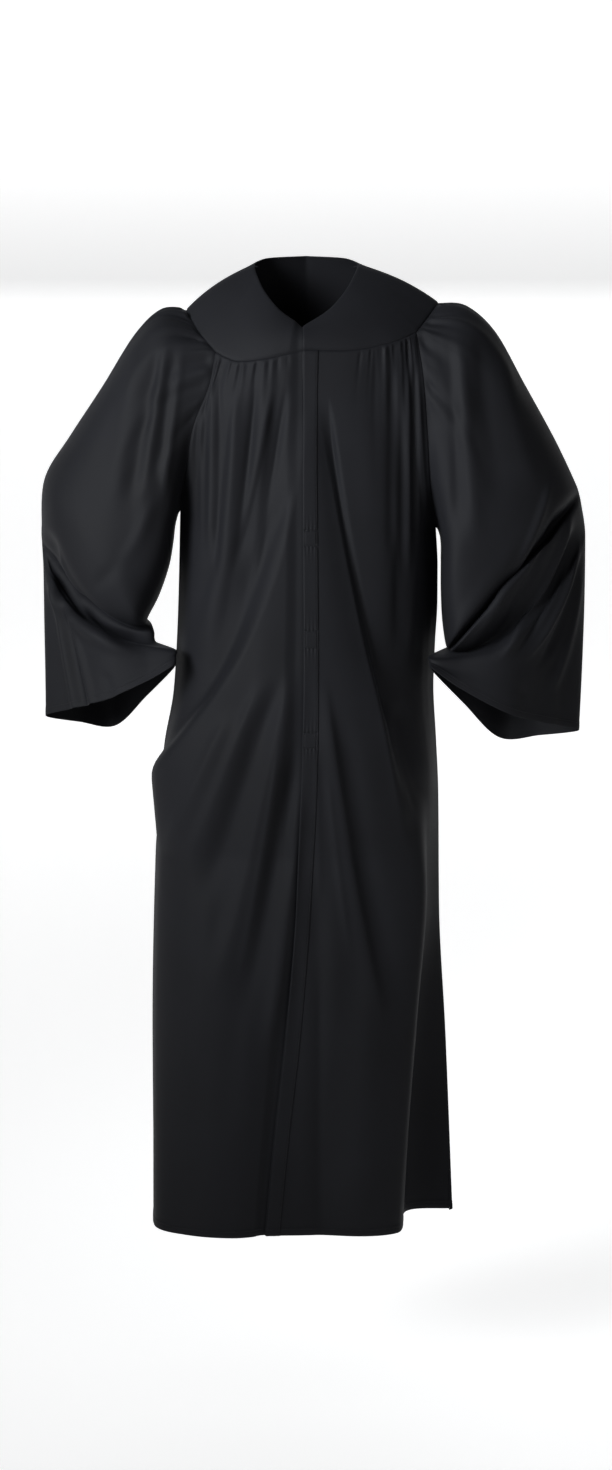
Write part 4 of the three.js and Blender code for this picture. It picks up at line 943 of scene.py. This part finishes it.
def passing_weights(t, count, closed):
    """For each t, the weights of a list of points on a curve of cubic spans that passes through
    one at each whole number. Its slope at a point is half the step between its neighbours."""
    i = np.floor(t).astype(int)
    if not closed:
        i = np.minimum(count - 2, i)
    f = t - i
    weights = np.zeros((len(t), count))
    parts = (
        (-1, 0.5 * (-f + 2 * f**2 - f**3)),
        (0, 0.5 * (2 - 5 * f**2 + 3 * f**3)),
        (1, 0.5 * (f + 4 * f**2 - 3 * f**3)),
        (2, 0.5 * (-(f**2) + f**3)),
    )
    for offset, w in parts:
        j = (i + offset) % count if closed else np.clip(i + offset, 0, count - 1)
        np.add.at(weights, (np.arange(len(t)), j), w)
    return weights


def turn_of(c):
    """Share of a turn round the sleeve at a place in the armhole's loop: evenly along the
    yoke's end, then evenly down to half a turn at the underarm, and back again."""
    ends = YOKE_END_COLUMNS
    m = np.where(c > HALF_LOOP, 2 * HALF_LOOP - c, c)
    head = HEAD_TURN * m / ends
    below = HEAD_TURN + (0.5 - HEAD_TURN) * (m - ends) / ARMHOLE_ROWS
    half = np.where(m <= ends, head, below)
    return np.where(c > HALF_LOOP, 1 - half, half)


def armhole_points(side, c):
    """Points of the armhole's loop: the yoke's end, the front edge, underarm, back and tip."""
    ends, total, seam = YOKE_END_COLUMNS, 2 * HALF_LOOP, SIDE_SEAM[side]
    front_row = np.clip(c - ends, 0, ARMHOLE_ROWS)
    back_row = np.clip(total - ends - c, 0, ARMHOLE_ROWS)
    pieces = [
        seam_points(YOKE_END[side], np.clip(1 - c / ends, 0, 2)),
        np.stack(edge_points(ARMHOLE_FRONT[side], seam, front_row), 1),
        np.stack(edge_points(ARMHOLE_BACK[side], seam, back_row), 1),
        seam_points(YOKE_END[side], np.clip(1 + (total - c) / ends, 0, 2)),
    ]
    which = np.digitize(c, [ends, HALF_LOOP, total - ends])
    return np.choose(which[:, None], pieces)


def sleeve_base(side, c, v):
    """Smooth base of a sleeve: rings at v from the armhole (0) to the cuff (1), whose first one
    is drawn onto the armhole's loop."""
    rings = ring_points(SLEEVE_RINGS[side])
    count = rings.shape[1]
    round_weights = passing_weights(8 * turn_of(c), 8, True)
    down_weights = passing_weights(v * (count - 1), count, False)
    points = np.einsum("ck,kri,vr->vci", round_weights, rings, down_weights)
    start = armhole_points(side, c) - points[0]
    ease = (1 - np.clip(7 * v, 0, 1)) ** 2
    return points + start[None] * ease[:, None, None]


def sleeve(side):
    """A sleeve and its cuff's stitches: its base, moved along its normals by folds at the front,
    gathers round the head of the armhole and the hem, and drawn in beside the armhole."""
    columns, rows = SLEEVE_POINTS
    total = 2 * HALF_LOOP
    c = np.arange(columns) / columns * total
    v = with_extra(spread(rows, 0.2), 1 - np.array(HEM_STEPS) / CUFF_RUN)
    base = sleeve_base(side, c, v)
    normal = normals_of(base, SIGN[side], wrap=True)
    x, z = base[..., 0], base[..., 2]
    turn = turn_of(c)[None, :]
    at_front = np.where(turn < 0.5, smooth(np.sin(2 * np.pi * turn) * 1.6), 0)
    below = arc_lengths(base, 0)
    folds = fold_height(SLEEVE_FOLDS[side], x, z) * at_front * smooth(v * 9)[:, None]
    head = smooth((GATHERED_TURN - np.minimum(turn, 1 - turn)) / 0.12)
    from_shoulder = (turn + 0.5) % 1 - 0.5
    across = np.broadcast_to(from_shoulder / (2 * GATHERED_TURN) + 0.5, z.shape)
    from_cuff = below[-1:] - below
    high = folds + gathers(across, below, SLEEVE_GATHERS[side]) * head + hem_height(from_cuff)
    points = pulled_in(base + normal * high[..., None], below)
    cloth = seam_turned(points, "top")
    down = arc_lengths(cloth, 0)
    round_it = np.broadcast_to(c[None, :] / total * SLEEVE_WIDTH, down.shape)
    uv = np.stack([round_it, down / 1000], 2)
    names = ("Sleeve_" + side, "sleeve_" + side)
    piece = cloth_object(*names, cloth, uv, wrap=True, turned=side == "right")
    return piece, hem_stitches("Stitches_sleeve_" + side, points, normal, from_cuff)


# Materials
def node_of(tree, kind, label, place, inputs=None, **settings):
    """A labelled node at a place in a tree, with its settings and the values of its inputs."""
    node = tree.nodes.new(kind)
    node.label = label
    node.location = place
    for key, value in settings.items():
        setattr(node, key, value)
    for key, value in (inputs or {}).items():
        node.inputs[key].default_value = value
    return node


def ramp_of(tree, label, place, low, high, span=(0, 1)):
    """A colour ramp from a low to a high colour over a span of its factor."""
    node = node_of(tree, "ShaderNodeValToRGB", label, place)
    for element, position, colour in zip(node.color_ramp.elements, span, (low, high)):
        element.position = position
        element.color = (*colour, 1)
    return node


def link(source, output, target, socket):
    """Joins an output of one node to an input of another one in the same tree."""
    source.id_data.links.new(source.outputs[output], target.inputs[socket])


def weave_group():
    """Twill weave height from cloth UVs: diagonal bands of fine threads, and a little under
    half as much of upright ones."""
    group = bpy.data.node_groups.new("Twill weave", "ShaderNodeTree")
    sockets = group.interface
    sockets.new_socket(name="Cloth UV", in_out="INPUT", socket_type="NodeSocketVector")
    count = sockets.new_socket(name="Threads per metre", in_out="INPUT", socket_type="NodeSocketFloat")
    count.default_value, count.min_value, count.max_value = 1600, 10, 10000
    sockets.new_socket(name="Height", in_out="OUTPUT", socket_type="NodeSocketFloat")
    ins = node_of(group, "NodeGroupInput", "Inputs", (-800, 0))
    outs = node_of(group, "NodeGroupOutput", "Outputs", (600, 0))
    scale = node_of(group, "ShaderNodeVectorMath", "Count threads", (-600, 0), operation="SCALE")
    link(ins, "Cloth UV", scale, 0)
    link(ins, "Threads per metre", scale, "Scale")
    bands = {"Scale": 0.32}
    warp = node_of(group, "ShaderNodeTexWave", "Warp threads", (-350, 160), bands, bands_direction="X")
    weft = node_of(group, "ShaderNodeTexWave", "Twill diagonal", (-350, -160), bands,
                   bands_direction="DIAGONAL")
    for wave in (warp, weft):
        link(scale, 0, wave, "Vector")
    add = node_of(group, "ShaderNodeMath", "Cross the threads", (0, 0), operation="MULTIPLY_ADD")
    add.inputs[1].default_value = 0.45
    link(warp, "Fac", add, 0)
    link(weft, "Fac", add, 2)
    link(add, 0, outs, "Height")
    return group


def new_material(name):
    """A material with Blender's own Principled shader, its tree and that shader."""
    material = bpy.data.materials.new(name)
    material.use_nodes = True
    tree = material.node_tree
    return material, tree, tree.nodes["Principled BSDF"]


def gown_cloth(weave):
    """Black polyester with a soft sheen: a noise over the gown takes it from a cool black to
    charcoal and from 0.6 to 0.76 rough. A fine weave and shallow creases, about three times as
    long as they are wide, give the relief."""
    material, tree, cloth = new_material("Black gown cloth")
    cloth.inputs["Specular IOR Level"].default_value = 0.08
    cloth.inputs["Sheen Weight"].default_value = 0.01
    cloth.inputs["Sheen Roughness"].default_value = 0.35
    cloth.inputs["Sheen Tint"].default_value = (0.75, 0.8, 0.95, 1)
    uv = node_of(tree, "ShaderNodeUVMap", "Cloth UV", (-1100, 0), uv_map="Cloth")
    place = node_of(tree, "ShaderNodeTexCoord", "Place on the gown", (-1100, -300))
    mottle = node_of(tree, "ShaderNodeTexNoise", "Uneven dye", (-850, 250), {"Scale": 7, "Detail": 4})
    colour = ramp_of(tree, "Black to charcoal", (-600, 250),
                     (0.0044, 0.0045, 0.0055), (0.0063, 0.0065, 0.008), (0.3, 0.75))
    gloss = node_of(tree, "ShaderNodeMapRange", "Uneven gloss", (-600, 0),
                    {"To Min": 0.6, "To Max": 0.76})
    link(place, "Object", mottle, "Vector")
    link(mottle, "Fac", colour, "Fac")
    link(mottle, "Fac", gloss, "Value")
    link(colour, "Color", cloth, "Base Color")
    link(gloss, "Result", cloth, "Roughness")
    threads = node_of(tree, "ShaderNodeGroup", "Weave", (-600, -250), node_tree=weave)
    fine = node_of(tree, "ShaderNodeBump", "Weave relief", (-100, -250),
                   {"Strength": 0.25, "Distance": 0.0001})
    link(uv, "UV", threads, "Cloth UV")
    link(threads, "Height", fine, "Height")
    stretch = node_of(tree, "ShaderNodeMapping", "Creases run down", (-850, -500),
                      {"Scale": (1, 1, 0.3)})
    creases = node_of(tree, "ShaderNodeTexNoise", "Shallow creases", (-600, -500),
                      {"Scale": 22, "Detail": 3, "Distortion": 0.6})
    relief = node_of(tree, "ShaderNodeBump", "Crease relief", (120, -250),
                     {"Strength": 0.3, "Distance": 0.0015})
    link(place, "Object", stretch, "Vector")
    link(stretch, "Vector", creases, "Vector")
    link(creases, "Fac", relief, "Height")
    link(fine, "Normal", relief, "Normal")
    link(relief, "Normal", cloth, "Normal")
    return material


def sewing_thread():
    """Black sewing thread, a little glossier than the cloth: diagonal bands over its length give the
    relief of its twisted plies, and the same bands paint shade into its colour, darker in the grooves
    between the plies."""
    material, tree, thread = new_material("Black sewing thread")
    thread.inputs["Specular IOR Level"].default_value = 0.2
    thread.inputs["Roughness"].default_value = 0.45
    place = node_of(tree, "ShaderNodeTexCoord", "Place on the gown", (-1000, 0))
    twist = node_of(tree, "ShaderNodeTexWave", "Twisted plies", (-750, 0), {"Scale": 500},
                    bands_direction="DIAGONAL")
    # Painted shade: the thread's colour is darker where the ply relief is low, in the grooves between
    # the plies
    tone = ramp_of(tree, "Painted ply shade", (-450, 150), (0.003, 0.003, 0.0035), (0.008, 0.008, 0.009))
    relief = node_of(tree, "ShaderNodeBump", "Ply relief", (-300, -250),
                     {"Strength": 0.4, "Distance": 0.0001})
    link(place, "Object", twist, "Vector")
    link(twist, "Fac", tone, "Fac")
    link(tone, "Color", thread, "Base Color")
    link(twist, "Fac", relief, "Height")
    link(relief, "Normal", thread, "Normal")
    return material


def pale_floor():
    """A plain matt finish for the floor, that glows evenly so that the backdrop comes out
    white: a faint noise between two pale tones."""
    material, tree, shader = new_material("Pale floor")
    shader.inputs["Roughness"].default_value = 0.7
    shader.inputs["Emission Color"].default_value = (1, 1, 1, 1)
    shader.inputs["Emission Strength"].default_value = 0.68
    noise = node_of(tree, "ShaderNodeTexNoise", "Faint unevenness", (-600, 0), {"Scale": 3})
    tone = ramp_of(tree, "Pale tones", (-300, 0), (0.8342, 0.8342, 0.8342), (0.86, 0.86, 0.86))
    link(noise, "Fac", tone, "Fac")
    link(tone, "Color", shader, "Base Color")
    return material


# Studio
def studio_floor():
    """A pale floor that sweeps up into a backdrop: a flat run, a quarter circle and a wall."""
    flat = np.linspace(-FLOOR_HALF_WIDTH, FLOOR_FLAT_END, 24)
    turn = np.linspace(0, np.pi / 2, 24)
    wall = np.linspace(SWEEP_RADIUS, WALL_TOP, 12)
    sweep_y = FLOOR_FLAT_END + SWEEP_RADIUS * np.sin(turn)
    sweep_z = SWEEP_RADIUS * (1 - np.cos(turn))
    y = np.concatenate([flat, sweep_y, np.full_like(wall, FLOOR_FLAT_END + SWEEP_RADIUS)])
    z = np.concatenate([np.zeros_like(flat), sweep_z, wall]) + FLOOR_Z
    x = np.linspace(-FLOOR_HALF_WIDTH, FLOOR_HALF_WIDTH, 25)
    points = np.stack(np.broadcast_arrays(x[:, None], y[None, :], z[None, :]), 2)
    quads = grid_quads(*points.shape[:2])[:, [0, 3, 2, 1]]
    mesh = bpy.data.meshes.new("Studio floor")
    mesh.from_pydata(points.reshape(-1, 3).tolist(), [], quads.tolist())
    mesh.polygons.foreach_set("use_smooth", np.ones(len(quads), bool))
    mesh.materials.append(pale_floor())
    placed("Studio floor", mesh)


def area_light(name, place, target, size, power, colour, angle):
    """A soft light with a rectangular face at a place, turned to a target, whose light spreads
    over an angle in degrees."""
    light = bpy.data.lights.new(name, "AREA")
    light.shape = "RECTANGLE"
    light.size, light.size_y = size
    light.energy = power
    light.color = colour
    light.spread = math.radians(angle)
    obj = placed(name, light)
    obj.location = place
    aim = Vector(target) - Vector(place)
    obj.rotation_euler = aim.to_track_quat("-Z", "Y").to_euler()


def studio():
    """The floor, faint light from all round, two soft lights from the front and the camera."""
    studio_floor()
    world = bpy.data.worlds.new("Studio air")
    world.use_nodes = True
    world.node_tree.nodes["Background"].inputs["Color"].default_value = (0.95, 0.97, 1, 1)
    world.node_tree.nodes["Background"].inputs["Strength"].default_value = 0.14
    bpy.context.scene.world = world
    bpy.context.scene.view_settings.view_transform = "Standard"
    area_light("Key light", (-2.1, -2.0, 0.7), (0, 0, 0), (2.0, 1.8), 31, (0.95, 0.98, 1), 42)
    area_light("Fill light", (2.4, -3.0, 0.0), (0, 0, -0.5), (2.0, 2.0), 4.5, (1, 0.98, 0.96), 80)
    camera = bpy.data.cameras.new("Photo camera")
    camera.sensor_width = SENSOR_MM
    camera.lens = SENSOR_MM * FOCAL_LENGTH_PX / PHOTO_HEIGHT_PX
    camera.clip_end = 50
    obj = placed("Photo camera", camera)
    obj.location = CAMERA_PLACE
    obj.rotation_euler = (math.radians(CAMERA_TILT), 0, 0)
    bpy.context.scene.camera = obj


# The gown in its studio
studio()
cloth_material = gown_cloth(weave_group())
thread_material = sewing_thread()
left_shoulder = YOKE_FRONT_COLUMNS
right_shoulder = left_shoulder + YOKE_BACK_COLUMNS
gown = [
    front_right(),
    front_left(),
    front_band(),
    back_panel(),
    yoke_piece("Yoke_front_left", "yoke_front_left", 0, left_shoulder, 96),
    yoke_piece("Yoke_back", "yoke_back", left_shoulder, right_shoulder, 120),
    yoke_piece("Yoke_front_right", "yoke_front_right", right_shoulder, YOKE_COLUMNS, 96),
    sleeve("left"),
    sleeve("right"),
]
for piece, sewn in gown:
    piece.data.materials.append(cloth_material)
    if sewn:
        sewn.data.materials.append(thread_material)
